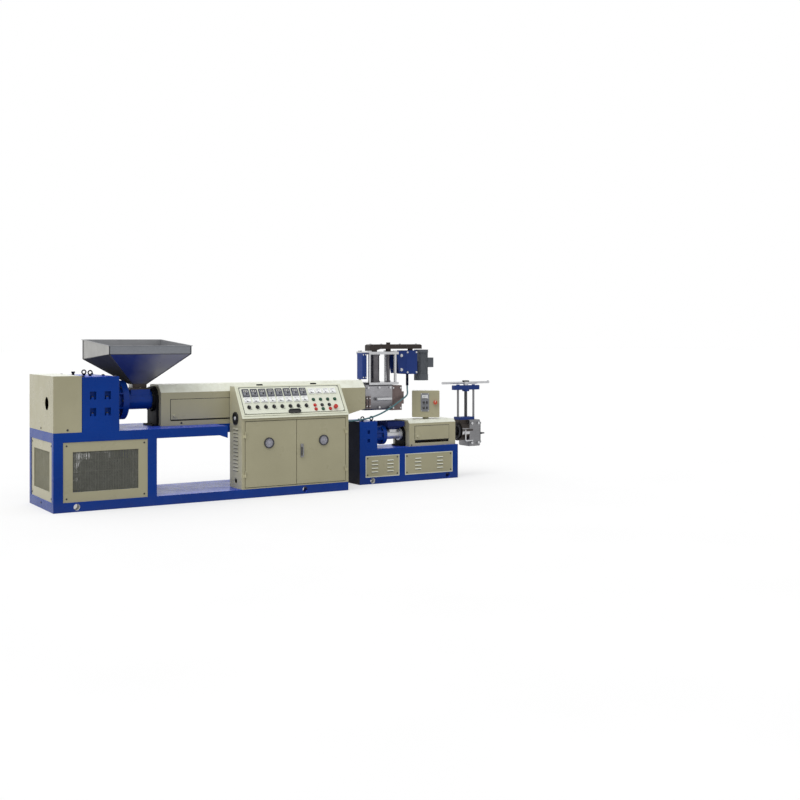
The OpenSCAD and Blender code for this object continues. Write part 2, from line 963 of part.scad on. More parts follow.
// Outline of an open belt round two pulleys, with the lower one at the origin
module belt_outline(lower_r, upper_r, centres) {
    lean = asin((upper_r - lower_r) / centres);
    side = [cos(lean), -sin(lean)];
    flip = [-side[0], side[1]];
    circle(lower_r);
    translate([0, centres]) circle(upper_r);
    polygon([lower_r * side, [0, centres] + upper_r * side, [0, centres] + upper_r * flip, lower_r * flip]);
}

module drive_belts() {
    pitch = pulley_l / belt_count;
    lower_r = motor_pulley_d / 2 + fit_gap;
    upper_r = gearbox_pulley_d / 2 + fit_gap;
    centres = axis_z - motor_z;
    color(black) for (i = [0 : belt_count - 1]) {
        x = pulley_x + (i + 0.5) * pitch - belt_w / 2;
        translate([0, input_y, motor_z]) extrude_x(x, x + belt_w) difference() {
            belt_outline(lower_r + belt_t, upper_r + belt_t, centres);
            belt_outline(lower_r, upper_r, centres);
        }
    }
}

module belt_guard() {
    top = base_top + belt_guard_h;
    color(cream) difference() {
        box([0, 0, base_top], [belt_guard_l, base_d, top]);
        box([guard_sheet_t, guard_sheet_t, base_top - over],
            [belt_guard_l + over, base_d - guard_sheet_t, top - guard_sheet_t]);
        along_x(-over, over, input_y, axis_z, input_hole_d);
    }
}

// Gearbox, bearing and feed
module main_gearbox() {
    color(machine_blue) {
        gear_case(gearbox_x, 0, base_top, gearbox_l, base_d, gearbox_h, gearbox_edge_r,
                  [pocket_w, pocket_h, pocket_depth], pocket_column_shares, pocket_row_shares);
        for (cs = pocket_column_shares, rs = pocket_row_shares) {
            x = gearbox_x + gearbox_l * cs;
            z = base_top + gearbox_h * rs - pocket_h / 2;
            for (y = [pocket_depth / 2, base_d - pocket_depth / 2]) {
                along_z(z, z + bolt_boss_h, x, y, bolt_boss_d);
            }
        }
    }
}

module lifting_eyes() {
    top = base_top + gearbox_h;
    second_top = second_h + second_gearbox_h;
    breather_x = gearbox_x + gearbox_l * breather_x_share;
    color(dark_steel) {
        for (share = eye_y_shares) {
            eye_bolt(gearbox_x + gearbox_l / 2, base_d * share, top);
        }
        for (share = second_eye_x_shares) {
            eye_bolt(second_x + second_gearbox_l * share, second_y + second_d * second_eye_y_share, second_top);
        }
        along_z(top, top + breather_h, breather_x, base_d * breather_y_share, breather_d);
        along_z(top + breather_h - breather_cap_h / 2, top + breather_h + breather_cap_h / 2,
                breather_x, base_d * breather_y_share, breather_cap_d);
    }
}

// A bearing housing with a flange at its far end and ribs between
module bearing_housing(x, z, l, d, flange_d, flange_t) {
    along_x(x, x + l, axis_y, z, d);
    along_x(x + l - flange_t, x + l, axis_y, z, flange_d);
    translate([x, axis_y, z]) rotate([0, 90, 0])
        rotate([0, 0, 180 / housing_ribs]) fin_ring(housing_ribs, housing_rib_t, flange_d / 2 - fin_set, l);
}

module bearing_housings() {
    color(machine_blue) {
        bearing_housing(housing_x, axis_z, housing_l, housing_d, housing_flange_d, housing_flange_t);
        bearing_housing(second_housing_x, second_z, second_housing_l, second_housing_d,
                        second_housing_flange_d, second_housing_flange_t);
    }
}

module main_feed_section() {
    color(machine_blue) difference() {
        union() {
            along_x(feed_x, feed_x + feed_l, axis_y, axis_z, feed_d);
            along_x(feed_x, feed_x + feed_left_flange_t, axis_y, axis_z, feed_left_flange_d);
            along_x(feed_x + feed_l - feed_right_flange_t, feed_x + feed_l, axis_y, axis_z, feed_right_flange_d);
            box([hopper_x - block_l / 2, axis_y - block_w / 2, axis_z],
                [hopper_x + block_l / 2, axis_y + block_w / 2, throat_top]);
        }
        along_x(feed_x - over, feed_x + feed_l + over, axis_y, axis_z, screw_d + 2 * feed_bore_gap);
        box([hopper_x - throat_l / 2, axis_y - throat_w / 2, axis_z],
            [hopper_x + throat_l / 2, axis_y + throat_w / 2, throat_top + over]);
    }
}

module main_screw() {
    root_r = screw_d * screw_root_share / 2;
    flight_r = screw_d / 2;
    color(steel) {
        along_x(feed_x, feed_x + feed_l, axis_y, axis_z, 2 * root_r);
        translate([feed_x, axis_y, axis_z]) rotate([0, 90, 0])
            linear_extrude(feed_l, twist = -360 * flight_turns, slices = flight_turns * flight_steps)
                polygon([
                    [0, 0], [flight_r * cos(flight_angle / 2), -flight_r * sin(flight_angle / 2)], [flight_r, 0],
                    [flight_r * cos(flight_angle / 2), flight_r * sin(flight_angle / 2)]
                ]);
    }
}

// Hopper
module feed_hopper() {
    rim_l = hopper_l / 2 - lip_w;
    rim_d = hopper_d / 2 - lip_w;
    neck_l = throat_l / 2 + hopper_t;
    neck_w = throat_w / 2 + hopper_t;
    front_z = neck_z + hopper_front_h;
    back_z = neck_z + hopper_back_h;
    centre = [hopper_x, axis_y];
    color(steel) difference() {
        union() {
            stacked_form(centre, [
                [neck_l, neck_w, neck_z - over, neck_z - over, 0], [neck_l, neck_w, neck_z, neck_z, 0],
                [rim_l, rim_d, front_z - band_front_h, back_z - band_back_h, hopper_shift],
                [rim_l, rim_d, front_z, back_z, hopper_shift]
            ]);
            stacked_form(centre, [
                [rim_l + lip_w, rim_d + lip_w, front_z - lip_t, back_z - lip_t, hopper_shift],
                [rim_l + lip_w, rim_d + lip_w, front_z, back_z, hopper_shift]
            ]);
            box([hopper_x - neck_l, axis_y - neck_w, throat_top], [hopper_x + neck_l, axis_y + neck_w, neck_z]);
            box([hopper_x - block_l / 2, axis_y - block_w / 2, throat_top],
                [hopper_x + block_l / 2, axis_y + block_w / 2, throat_top + neck_flange_t]);
        }
        stacked_form(centre, [
            [neck_l - hopper_t, neck_w - hopper_t, throat_top - over, throat_top - over, 0],
            [neck_l - hopper_t, neck_w - hopper_t, neck_z, neck_z, 0],
            [rim_l - hopper_t, rim_d - hopper_t, front_z - band_front_h, back_z - band_back_h, hopper_shift],
            [rim_l - hopper_t, rim_d - hopper_t, front_z + over, back_z + over, hopper_shift]
        ]);
    }
}

// Barrels and covers
module barrel_supports() {
    color(black) {
        barrel_stand(barrel_x, support_t, support_w, base_top, axis_z, barrel_d + 2 * fit_gap);
        barrel_stand(second_barrel_x, second_support_t, second_support_w, second_h, second_z,
                     second_barrel_d + 2 * fit_gap);
    }
}

module barrels() {
    color(dark_steel) {
        along_x(barrel_x, barrel_end, axis_y, axis_z, barrel_d);
        along_x(barrel_end - barrel_flange_t, barrel_end, axis_y, axis_z, barrel_flange_d);
        along_x(second_barrel_x, hand_x, axis_y, second_z, second_barrel_d);
        along_x(hand_x - second_barrel_flange_t, hand_x, axis_y, second_z, second_barrel_flange_d);
    }
}

module main_barrel_cover() {
    top = base_top + cover_h;
    shoulder = base_top + cover_shoulder_h;
    door_x = cover_x + cover_door_x;
    window_z = base_top + cover_door_z;
    color(cream) difference() {
        intersection() {
            extrude_x(cover_x, cover_end) cover_outline(cover_w, base_top, shoulder, top, cover_shoulder_w);
            extrude_y(axis_y - cover_w, axis_y + cover_w) polygon([
                [cover_x, base_top], [base_l, base_top], [cover_end, base_top + cover_rise], [cover_end, top],
                [cover_x, top]
            ]);
        }
        intersection() {
            extrude_x(cover_x + sheet_t, cover_end - sheet_t)
                cover_outline(cover_w - 2 * sheet_t, base_top - over, shoulder, top - sheet_t, cover_shoulder_w);
            extrude_y(axis_y - cover_w, axis_y + cover_w) polygon([
                [cover_x, base_top - over], [base_l - sheet_t, base_top - over],
                [base_l - sheet_t, base_top + sheet_t], [base_l, base_top + sheet_t],
                [cover_end, base_top + cover_rise + sheet_t], [cover_end, top],
                [cover_x, top]
            ]);
        }
        along_x(cover_x - over, cover_end + over, axis_y, axis_z, barrel_d + 2 * cover_end_hole_gap);
        side_window(cover_w, door_x, window_z - cover_slot_h - cover_slot_gap, cover_door_l, cover_slot_h);
        side_window(cover_w, door_x + cover_door_lap, window_z + cover_door_lap,
                    cover_door_l - 2 * cover_door_lap, cover_door_h - 2 * cover_door_lap);
    }
}

module second_barrel_cover() {
    top = second_h + second_cover_h;
    shoulder = second_h + second_shoulder_h;
    door_x = second_cover_x + second_door_x;
    color(cream) difference() {
        extrude_x(second_cover_x, second_cover_end)
            cover_outline(second_cover_w, second_h, shoulder, top, second_shoulder_w);
        extrude_x(second_cover_x + sheet_t, second_cover_end - sheet_t)
            cover_outline(second_cover_w - 2 * sheet_t, second_h - over, shoulder, top - sheet_t,
                          second_shoulder_w);
        along_x(second_cover_x - over, second_cover_end + over, axis_y, second_z,
                second_barrel_d + 2 * cover_end_hole_gap);
        side_window(second_cover_w, door_x, second_h + vent_slot_z, second_door_l, vent_slot_h);
        side_window(second_cover_w, door_x + cover_door_lap, second_h + second_door_z + cover_door_lap,
                    second_door_l - 2 * cover_door_lap, second_door_h - 2 * cover_door_lap);
    }
}

// A lift-off door on each side of a barrel cover, with a knob
module cover_door_pair(x, z, l, h, w) {
    for (side = [0, 1]) translate([0, axis_y, 0]) mirror([0, side, 0]) {
        box([x, -w / 2 - cover_door_t, z], [x + l, -w / 2, z + h]);
        along_y(-w / 2 - cover_door_t - knob_h, -w / 2, x + knob_inset, z + knob_inset, knob_d);
    }
}

module cover_doors() {
    color(cream) {
        cover_door_pair(cover_x + cover_door_x, base_top + cover_door_z, cover_door_l, cover_door_h, cover_w);
        cover_door_pair(second_cover_x + second_door_x, second_h + second_door_z, second_door_l, second_door_h,
                        second_cover_w);
    }
}

// Control cabinet
function console_under_z(y) = console_z + (y + console_lip) * tan(console_slope) - console_t / cos(console_slope);
function console_under_y(z) = (z - console_z + console_t / cos(console_slope)) / tan(console_slope) - console_lip;

module cabinet_side_outline() {
    top = cabinet_top_z - console_t;
    polygon([
        [0, lower_deck], [cabinet_d, lower_deck], [cabinet_d, top], [console_under_y(top), top],
        [0, console_under_z(0)]
    ]);
}

module cabinet_sides() {
    fan_y = cabinet_d / 2;
    color(cream) {
        difference() {
            extrude_x(cabinet_x, cabinet_x + sheet_t) cabinet_side_outline();
            along_x(cabinet_x - over, cabinet_x + sheet_t + over, fan_y, lower_deck + cable_port_z, cable_port_d);
        }
        extrude_x(base_l - sheet_t, base_l) cabinet_side_outline();
        for (i = [0 : louvre_count - 1]) {
            z = lower_deck + louvre_z + i * louvre_pitch;
            extrude_y(fan_y - louvre_l / 2, fan_y + louvre_l / 2) polygon([
                [cabinet_x + sheet_t / 2, z], [cabinet_x - louvre_out, z], [cabinet_x, z + louvre_h],
                [cabinet_x + sheet_t / 2, z + louvre_h]
            ]);
        }
        along_x(base_l - sheet_t / 2, base_l + cabinet_gland_h, cabinet_d - cabinet_gland_back,
                lower_deck + cabinet_gland_z, gland_d);
    }
}

module cabinet_back() {
    color(cream) box([cabinet_x + sheet_t, cabinet_d - sheet_t, lower_deck],
                     [base_l - sheet_t, cabinet_d, cabinet_top_z - console_t]);
}

module cabinet_front_frame() {
    color(cream) difference() {
        box([cabinet_x + sheet_t, 0, lower_deck], [base_l - sheet_t, front_frame_t, console_under_z(0)]);
        box([door_left_x, -over, door_z - door_gap],
            [door_right_x, front_frame_t + over, door_z + door_h + door_gap]);
    }
}

// Puts a piece on the sloping console: X along it, Y up the slope, Z out of its face
module on_console() {
    translate([cabinet_x, -console_lip, console_z]) rotate([console_slope, 0, 0]) children();
}

// Puts a piece at shares of the instrument plate's length and height, on its face
module on_plate(x_share, y_share) {
    on_console() translate([plate_side + plate_l * x_share, plate_bottom + plate_h * y_share, plate_t])
        children();
}

module console_hood() {
    top = cabinet_top_z;
    inner_y = console_under_y(top - console_t);
    rim = border_gap + border_w;
    color(cream) {
        extrude_x(cabinet_x, base_l) polygon([
            [-console_lip, console_z], [cabinet_d - cabinet_top_d, top], [cabinet_d, top],
            [cabinet_d, top - console_t], [inner_y, top - console_t],
            [console_under_y(console_z), console_z]
        ]);
        on_console() difference() {
            translate([plate_side - rim, plate_bottom - rim, -console_t / 2])
                cube([plate_l + 2 * rim, plate_h + rim, border_t + console_t / 2]);
            translate([plate_side - border_gap, plate_bottom - border_gap, 0])
                cube([plate_l + 2 * border_gap, plate_h + border_gap + over, border_t + over]);
        }
        for (share = latch_pad_shares) {
            x = cabinet_x + cabinet_l * share;
            y = cabinet_d - cabinet_top_d / 2;
            box([x - latch_pad_l / 2, y - latch_pad_w / 2, top - console_t / 2],
                [x + latch_pad_l / 2, y + latch_pad_w / 2, top + latch_pad_h]);
        }
    }
}

module console_plate() {
    color("#f1ecdc") on_console() translate([plate_side, plate_bottom, 0]) cube([plate_l, plate_h, plate_t]);
}

module centred_block(l, h, out) {
    translate([-l / 2, -h / 2, 0]) cube([l, h, out]);
}

// An instrument with its face set back in a frame
module instrument(w, h, out) {
    difference() {
        centred_block(w, h, out);
        translate([0, 0, out - meter_glass_out])
            centred_block(w - 2 * meter_glass_inset, h - 2 * meter_glass_inset, out);
    }
}

module at_left_columns(row_share) {
    for (i = [0 : left_columns - 1]) {
        on_plate(left_column_start_share + i * left_column_pitch_share, row_share) children();
    }
}

module at_right_columns(row_share) {
    for (share = right_column_shares) on_plate(share, row_share) children();
}

module temperature_controllers() {
    color(dark_steel) at_left_columns(controller_row_share)
        instrument(controller_w, controller_h, controller_out);
}

module panel_meters() {
    color("white") {
        at_left_columns(meter_row_share) instrument(meter_w, meter_h, meter_out);
        at_right_columns(right_meter_row_share) instrument(meter_w, meter_h, meter_out);
    }
}

module panel_switches() {
    color(black) at_left_columns(switch_row_share) {
        cylinder(h = switch_base_out, d = switch_d);
        centred_block(switch_grip_w, switch_grip_l, switch_grip_out);
    }
}

module push_button() {
    cylinder(h = button_ring_out, d = button_ring_d);
    cylinder(h = button_out, d = button_d);
}

module panel_buttons() {
    color("#2f8a4a") at_right_columns(lamp_row_share) push_button();
    color("#b8322a") {
        for (row = button_row_shares, i = [0 : len(right_column_shares) - 2]) {
            on_plate(right_column_shares[i], row) push_button();
        }
        on_plate(stop_x_share, stop_y_share) {
            cylinder(h = stop_out, d = stop_neck_d);
            translate([0, 0, stop_out - stop_head_out]) cylinder(h = stop_head_out, d = stop_d);
        }
    }
}

module console_pull() {
    color(black) on_plate(pull_x_share, pull_y_share) difference() {
        linear_extrude(pull_out) stadium(pull_l, pull_w);
        translate([0, 0, pull_rim]) linear_extrude(pull_out)
            stadium(pull_l - 2 * pull_rim, pull_w - 2 * pull_rim);
    }
}

module cabinet_side_fan() {
    color(black) translate([cabinet_x, cabinet_d / 2, lower_deck + side_fan_z]) rotate([0, 0, -90])
        vent_guard(side_fan_d);
}

// Doors: each is drawn for the left leaf and mirrored for the right one
module door_leaf(x) {
    hinge_x = x - door_gap / 2;
    difference() {
        box([x, 0, door_z], [x + door_w, door_t, door_z + door_h]);
        box([x + door_skin_t, door_skin_t, door_z + door_skin_t],
            [x + door_w - door_skin_t, door_t + over, door_z + door_h - door_skin_t]);
    }
    for (share = hinge_z_shares) {
        z = door_z + door_h * share + hinge_knuckle_gap;
        difference() {
            union() {
                along_z(z, z + hinge_knuckle_h, hinge_x, -hinge_front, hinge_d);
                box([hinge_x, -hinge_leaf_t, z], [x + hinge_leaf_w, door_skin_t / 2, z + hinge_knuckle_h]);
                box([hinge_x, -hinge_front, z], [hinge_x + hinge_d / 2, 0, z + hinge_knuckle_h]);
            }
            along_z(z - over, z + hinge_pin_h + fit_gap, hinge_x, -hinge_front, hinge_pin_d + 2 * fit_gap);
        }
    }
}

module frame_hinges(x) {
    hinge_x = x - door_gap / 2;
    for (share = hinge_z_shares) {
        z = door_z + door_h * share;
        along_z(z - hinge_knuckle_h, z, hinge_x, -hinge_front, hinge_d);
        along_z(z - hinge_knuckle_h, z + hinge_pin_h, hinge_x, -hinge_front, hinge_pin_d);
        box([x - door_gap - hinge_leaf_w, -hinge_leaf_t, z - hinge_knuckle_h], [hinge_x, 0, z]);
        box([hinge_x - hinge_d / 2, -hinge_front, z - hinge_knuckle_h], [hinge_x, 0, z]);
    }
}

module mirrored_door() {
    translate([door_left_x + door_right_x, 0, 0]) mirror([1, 0, 0]) children();
}

module left_door() {
    color(cream) door_leaf(door_left_x + door_gap);
}

module right_door() {
    color(cream) mirrored_door() door_leaf(door_left_x + door_gap);
}

module cabinet_hinges() {
    color(steel) {
        frame_hinges(door_left_x + door_gap);
        mirrored_door() frame_hinges(door_left_x + door_gap);
    }
}

module door_vent() {
    translate([door_left_x + door_gap + door_w * vent_x_share, 0, door_z + door_h * vent_z_share])
        vent_guard(vent_d);
}

module left_door_vent() {
    color(dark_steel) door_vent();
}

module right_door_vent() {
    color(dark_steel) mirrored_door() door_vent();
}

module door_latch() {
    x = door_right_x - door_gap - door_w + latch_x;
    z = door_z + door_h * latch_z_share;
    color(steel) {
        box([x - latch_w / 2, -latch_base_out, z - latch_h / 2], [x + latch_w / 2, 0, z + latch_h / 2]);
        box([x - latch_grip_w / 2, -latch_out, z - latch_h / 2 + latch_w / 2],
            [x + latch_grip_w / 2, -latch_base_out / 2, z + latch_h / 4]);
    }
}

// Screen changer
module changer_block() {
    front = axis_y - changer_w / 2;
    mid_x = changer_x + changer_l * melt_pipe_share;
    pipe_z = changer_z + melt_pipe_z;
    color(steel) {
        extrude_x(changer_x, changer_x + changer_l)
            chamfered_outline(changer_w, changer_z, changer_top, changer_edge);
        for (share = flange_bar_x_shares) {
            x = changer_x + changer_l * share;
            box([x - flange_bar_l / 2, front - flange_bar_t, changer_z + changer_block_h * flange_bar_z_shares[0]],
                [x + flange_bar_l / 2, front + changer_w + flange_bar_t,
                 changer_z + changer_block_h * flange_bar_z_shares[1]]);
        }
        along_x(mid_x - melt_pipe_l / 2, mid_x + melt_pipe_l / 2, front - melt_pipe_out, pipe_z, melt_pipe_d);
        for (x = [mid_x - melt_pipe_l / 3, mid_x + melt_pipe_l / 3]) {
            along_y(front - melt_pipe_out, front + over, x, pipe_z, melt_pipe_post_w);
        }
    }
}

module discharge_die() {
    x0 = changer_x + changer_l;
    x1 = x0 + discharge_l;
    z0 = changer_z - discharge_drop;
    mid_x = (x0 + x1) / 2;
    color(brown_steel) difference() {
        union() {
            box([x0, axis_y - discharge_w / 2, z0], [x1, axis_y + discharge_w / 2, z0 + discharge_h]);
            for (y = [axis_y - discharge_w / 2, axis_y + discharge_w / 2 - clamp_bar_l]) {
                box([x1 - over, y, z0 + discharge_h / 4],
                    [x1 + clamp_bar_l, y + clamp_bar_l, z0 + discharge_h * 3 / 4]);
            }
        }
        box([mid_x - outlet_l / 2, axis_y - outlet_w / 2, z0 - over],
            [mid_x + outlet_l / 2, axis_y + outlet_w / 2, z0 + outlet_depth]);
    }
}

module at_columns() {
    for (x = column_xs, side = [-1, 1]) {
        translate([x, axis_y + side * (changer_w / 2 - column_y_inset), 0]) children();
    }
}

module changer_frame() {
    color(steel) {
        at_columns() along_z(changer_top, top_plate_z + top_plate_t + column_cap_h, 0, 0, column_d);
        at_columns() along_z(top_plate_z, top_plate_z + top_plate_t + column_cap_h, 0, 0, column_cap_d);
        for (plate = [[changer_top, foot_plate_t], [top_plate_z, top_plate_t]]) {
            box([plate_x0, axis_y - changer_w / 2, plate[0]],
                [plate_x1, axis_y + changer_w / 2, plate[0] + plate[1]]);
        }
    }
}

module changer_jacks() {
    z0 = changer_top + foot_plate_t;
    color(dark_steel) for (i = [0 : len(jack_xs) - 1]) {
        along_z(z0, top_plate_z, jack_xs[i], axis_y, jack_ds[i]);
        for (z = [z0, top_plate_z - jack_collar_t]) {
            along_z(z, z + jack_collar_t, jack_xs[i], axis_y, jack_ds[i] + 2 * jack_collar_w);
        }
    }
}

module changer_drive_box() {
    z0 = top_plate_z - drive_box_drop;
    color(machine_blue) translate([plate_x0 - drive_box_l, axis_y - drive_box_front, z0])
        linear_extrude(drive_box_h) rounded_rect(drive_box_l, drive_box_w, drive_box_edge);
}

module chain_guard() {
    x0 = changer_x + chain_start;
    x1 = x0 + chain_guard_l;
    z1 = chain_guard_z + chain_guard_h;
    motor_boss_x = reducer_x + reducer_l * motor_boss_share;
    color(brown_steel) {
        extrude_y(axis_y - chain_guard_w / 2, axis_y + chain_guard_w / 2) polygon([
            [x0, chain_guard_z - chain_end_h], [x0 + chain_end_l, chain_guard_z - chain_end_h],
            [x0 + 2 * chain_end_l, chain_guard_z], [x1, chain_guard_z], [x1, z1 - chain_end_h / 2],
            [x1 - chain_end_h, z1], [x0 + chain_end_h, z1], [x0, z1 - chain_end_h / 2]
        ]);
        for (x = jack_xs) along_z(top_plate_z + top_plate_t, chain_guard_z + over, x, axis_y, chain_boss_d);
        along_z(reducer_top, chain_guard_z + over, motor_boss_x, axis_y, chain_boss_d);
        along_z(z1 - over, z1 + chain_end_h, jack_xs[1], axis_y, shaft_d);
    }
}

module changer_reducer() {
    z0 = reducer_top - reducer_h;
    front = axis_y - reducer_w / 2;
    color(machine_blue) {
        translate([reducer_x, front, z0]) linear_extrude(reducer_h)
            rounded_rect(reducer_l, reducer_w, drive_box_edge);
        for (y = [front + drive_box_edge, axis_y + reducer_w / 2 - drive_box_edge - bracket_t]) difference() {
            extrude_y(y, y + bracket_t) polygon([
                [plate_x1, top_plate_z], [plate_x1 + bracket_slant, z0 + drive_box_edge],
                [reducer_x + over, z0 + drive_box_edge], [reducer_x + over, reducer_top - drive_box_edge],
                [plate_x1, reducer_top - drive_box_edge]
            ]);
            for (share = bracket_hole_z_shares) {
                along_y(y - over, y + bracket_t + over, plate_x1 + reducer_gap * bracket_hole_x_share,
                        reducer_top - reducer_h * share, bracket_hole_d);
            }
        }
        along_z(z0 - gland_h, z0 + over, reducer_x + gland_x, front + gland_y, gland_d);
    }
}

module changer_motor() {
    x = changer_motor_x + motor_flange_l + changer_motor_d / 2;
    z1 = reducer_top + drive_box_edge;
    z0 = z1 - changer_motor_h;
    flange_z = z1 - motor_flange_l;
    box_top = flange_z + motor_flange_l / 2;
    half_w = changer_terminal_w / 2;
    color(dark_steel) {
        along_z(z0, z0 + changer_cowl_h, x, axis_y, changer_motor_d);
        along_z(z0, z1, x, axis_y, changer_motor_d - 2 * changer_motor_fin_out);
        translate([x, axis_y, z0 + changer_cowl_h / 2]) rotate([0, 0, 180 / changer_motor_fins])
            fin_ring(changer_motor_fins, changer_motor_fin_t, changer_motor_d / 2 - fin_set,
                     changer_motor_h - changer_cowl_h / 2 - motor_flange_l / 2);
        along_z(flange_z, z1, x, axis_y, changer_motor_d);
        box([changer_motor_x, axis_y - half_w, z1 - reducer_h / 2], [x, axis_y + half_w, box_top]);
        box([x - motor_flange_l, axis_y - half_w, flange_z - changer_terminal_drop - changer_terminal_h],
            [x + changer_motor_d / 2 + changer_terminal_l, axis_y + half_w, flange_z - changer_terminal_drop]);
    }
}

// Sweeps a round tube along a list of points that never run along Y
module tube_along(path, d, sides) {
    last = len(path) - 1;
    function heading(i) = let (step = path[min(i + 1, last)] - path[max(i - 1, 0)]) step / norm(step);
    function across(i) = let (n = cross(heading(i), [0, 1, 0])) n / norm(n);
    points = [
        for (i = [0 : last], k = [0 : sides - 1])
            let (u = across(i), v = cross(u, heading(i)), a = 360 * k / sides)
                path[i] + d / 2 * (cos(a) * u + sin(a) * v)
    ];
    walls = [
        for (i = [0 : last - 1], k = [0 : sides - 1])
            let (n = (k + 1) % sides, a = i * sides, b = a + sides)
                [a + k, a + n, b + n, b + k]
    ];
    ends = [[for (k = [sides - 1 : -1 : 0]) k], [for (k = [0 : sides - 1]) last * sides + k]];
    polyhedron(points, concat(walls, ends));
}

module drive_cable() {
    color("#3d6f73") tube_along(cable_route, cable_d, cable_sides);
}

// Second stage
module second_base_frame() {
    back = second_y + second_d;
    x1 = second_x + second_l;
    color(machine_blue) difference() {
        box([second_x, second_y, 0], [x1, back, second_h]);
        for (bay = second_bays) {
            box([bay[0], second_y - over, second_rail_w], [bay[1], back + over, second_h - second_rail_w]);
            box([bay[0], second_y + second_rail_w, -over], [bay[1], back - second_rail_w, second_h - deck_t]);
        }
        for (x = [second_bays[0][0] + second_lift_insets[0], second_bays[1][1] - second_lift_insets[1]]) {
            along_y(second_y - over, back + over, x, second_rail_w / 2, lift_hole_d);
        }
    }
}

// A louvred panel in X and Z from the origin, facing -Y
module louvred_panel(l, h) {
    cube([l, second_panel_t, h]);
    rise = (panel_louvre_rows - 1) * panel_louvre_pitch + panel_louvre_h;
    for (share = panel_louvre_column_shares, i = [0 : panel_louvre_rows - 1]) {
        x = l * share;
        z = (h - rise) / 2 + i * panel_louvre_pitch;
        extrude_x(x - panel_louvre_l / 2, x + panel_louvre_l / 2) polygon([
            [second_panel_t / 2, z], [-panel_louvre_out, z],
            [0, z + panel_louvre_h], [second_panel_t / 2, z + panel_louvre_h]
        ]);
    }
}

module second_base_panels() {
    color(cream) for (bay = second_bays, side = [0, 1]) translate([0, axis_y, 0]) mirror([0, side, 0])
        translate([bay[0], -second_d / 2 + second_panel_set, second_rail_w])
            louvred_panel(bay[1] - bay[0], second_h - 2 * second_rail_w);
}

module second_gearbox() {
    color(machine_blue) gear_case(second_x, second_y, second_h, second_gearbox_l, second_d, second_gearbox_h,
                                  second_gearbox_edge_r, [second_pocket_w, second_pocket_h, second_pocket_depth],
                                  second_pocket_column_shares, second_pocket_row_shares);
}

module second_feed_section() {
    x1 = second_feed_x + second_feed_l;
    chute_x = second_feed_x + second_feed_l / 2;
    color(steel) difference() {
        union() {
            along_x(second_feed_x, x1, axis_y, second_z, second_feed_d);
            along_x(x1 - second_feed_collar_t, x1, axis_y, second_z, second_feed_collar_d);
            box([chute_x - chute_foot_w / 2, axis_y - chute_foot_w / 2, second_z],
                [chute_x + chute_foot_w / 2, axis_y + chute_foot_w / 2, second_z + second_feed_d / 2 + over]);
        }
        box([chute_x - second_throat_w / 2, axis_y - second_throat_w / 2, second_z],
            [chute_x + second_throat_w / 2, axis_y + second_throat_w / 2, second_z + second_feed_d]);
    }
}

module second_feed_chute() {
    centre = [second_feed_x + second_feed_l / 2, axis_y];
    z0 = second_z + second_feed_d / 2 + over;
    z1 = z0 + chute_h;
    foot = chute_foot_w / 2;
    throat = second_throat_w / 2;
    half_l = chute_l / 2;
    half_w = chute_w / 2;
    flare_z = z0 + chute_flare;
    color(machine_blue) {
        difference() {
            stacked_form(centre, [
                [foot, foot, z0, z0, 0], [foot, foot, z0 + sheet_t, z0 + sheet_t, 0],
                [half_l, half_w, flare_z, flare_z, 0], [half_l, half_w, z1, z1, 0]
            ]);
            stacked_form(centre, [
                [throat, throat, z0 - over, z0 - over, 0], [throat, throat, z0 + sheet_t, z0 + sheet_t, 0],
                [half_l - sheet_t, half_w - sheet_t, flare_z, flare_z, 0],
                [half_l - sheet_t, half_w - sheet_t, z1 + over, z1 + over, 0]
            ]);
        }
        box([second_housing_x, axis_y + half_w - sheet_t, second_z - second_feed_d / 2],
            [second_barrel_x, axis_y + half_w, z1]);
    }
}

module control_box_origin() {
    cover_l = second_cover_end - second_cover_x;
    translate([second_cover_x + cover_l * control_box_x_share, axis_y, control_box_z])
        rotate([0, 0, control_box_turn]) translate([-control_box_l / 2, -control_box_d / 2, 0]) children();
}

module control_box() {
    color(cream) control_box_origin() {
        translate([0, control_box_d, 0]) rotate([90, 0, 0])
            linear_extrude(control_box_d) rounded_rect(control_box_l, control_box_h, control_box_edge_r);
        translate([control_box_l / 2, control_box_d / 2, -control_stem_h])
            cylinder(h = control_stem_h + over, d = control_stem_d);
    }
}

module control_box_panel() {
    x = control_box_l * control_panel_x_share;
    z = control_box_h * control_panel_z_share;
    color("#9a9c9e") control_box_origin() {
        box([x - control_panel_l / 2, -control_panel_t, z - control_panel_h / 2],
            [x + control_panel_l / 2, 0, z + control_panel_h / 2]);
        for (i = [0 : control_meter_rows - 1]) {
            mz = z + (i - (control_meter_rows - 1) / 2) * control_meter_pitch;
            box([x - control_meter_w / 2, -control_panel_t - control_meter_out, mz - control_meter_h / 2],
                [x + control_meter_w / 2, -control_panel_t / 2, mz + control_meter_h / 2]);
        }
        along_y(-control_knob_out, 0, control_box_l * control_knob_x_share, control_box_h * control_knob_z_share,
                control_knob_d);
    }
}

// Hand screen changer
module hand_changer_block() {
    x0 = hand_x + hand_clamp_l;
    pipe_y = axis_y - hand_block_w / 2 - drain_pipe_d / 4;
    pipe_z = hand_z + hand_block_h * drain_pipe_z_share;
    color(steel) {
        along_x(hand_x, x0, axis_y, second_z, hand_clamp_d);
        extrude_x(x0, hand_x + hand_block_l) chamfered_outline(hand_block_w, hand_z, hand_top, hand_block_edge);
        box([hand_x, axis_y - seat_plate_w / 2, second_z], [x0 + over, axis_y + seat_plate_w / 2, hand_top]);
        along_z(pipe_z - drain_pipe_r, pipe_z + drain_pipe_r, x0 - drain_pipe_r, pipe_y, drain_pipe_d);
        for (side = [-1, 1]) {
            along_x(x0 - drain_pipe_r, x0 + drain_pipe_l, pipe_y, pipe_z + side * drain_pipe_r, drain_pipe_d);
        }
    }
}

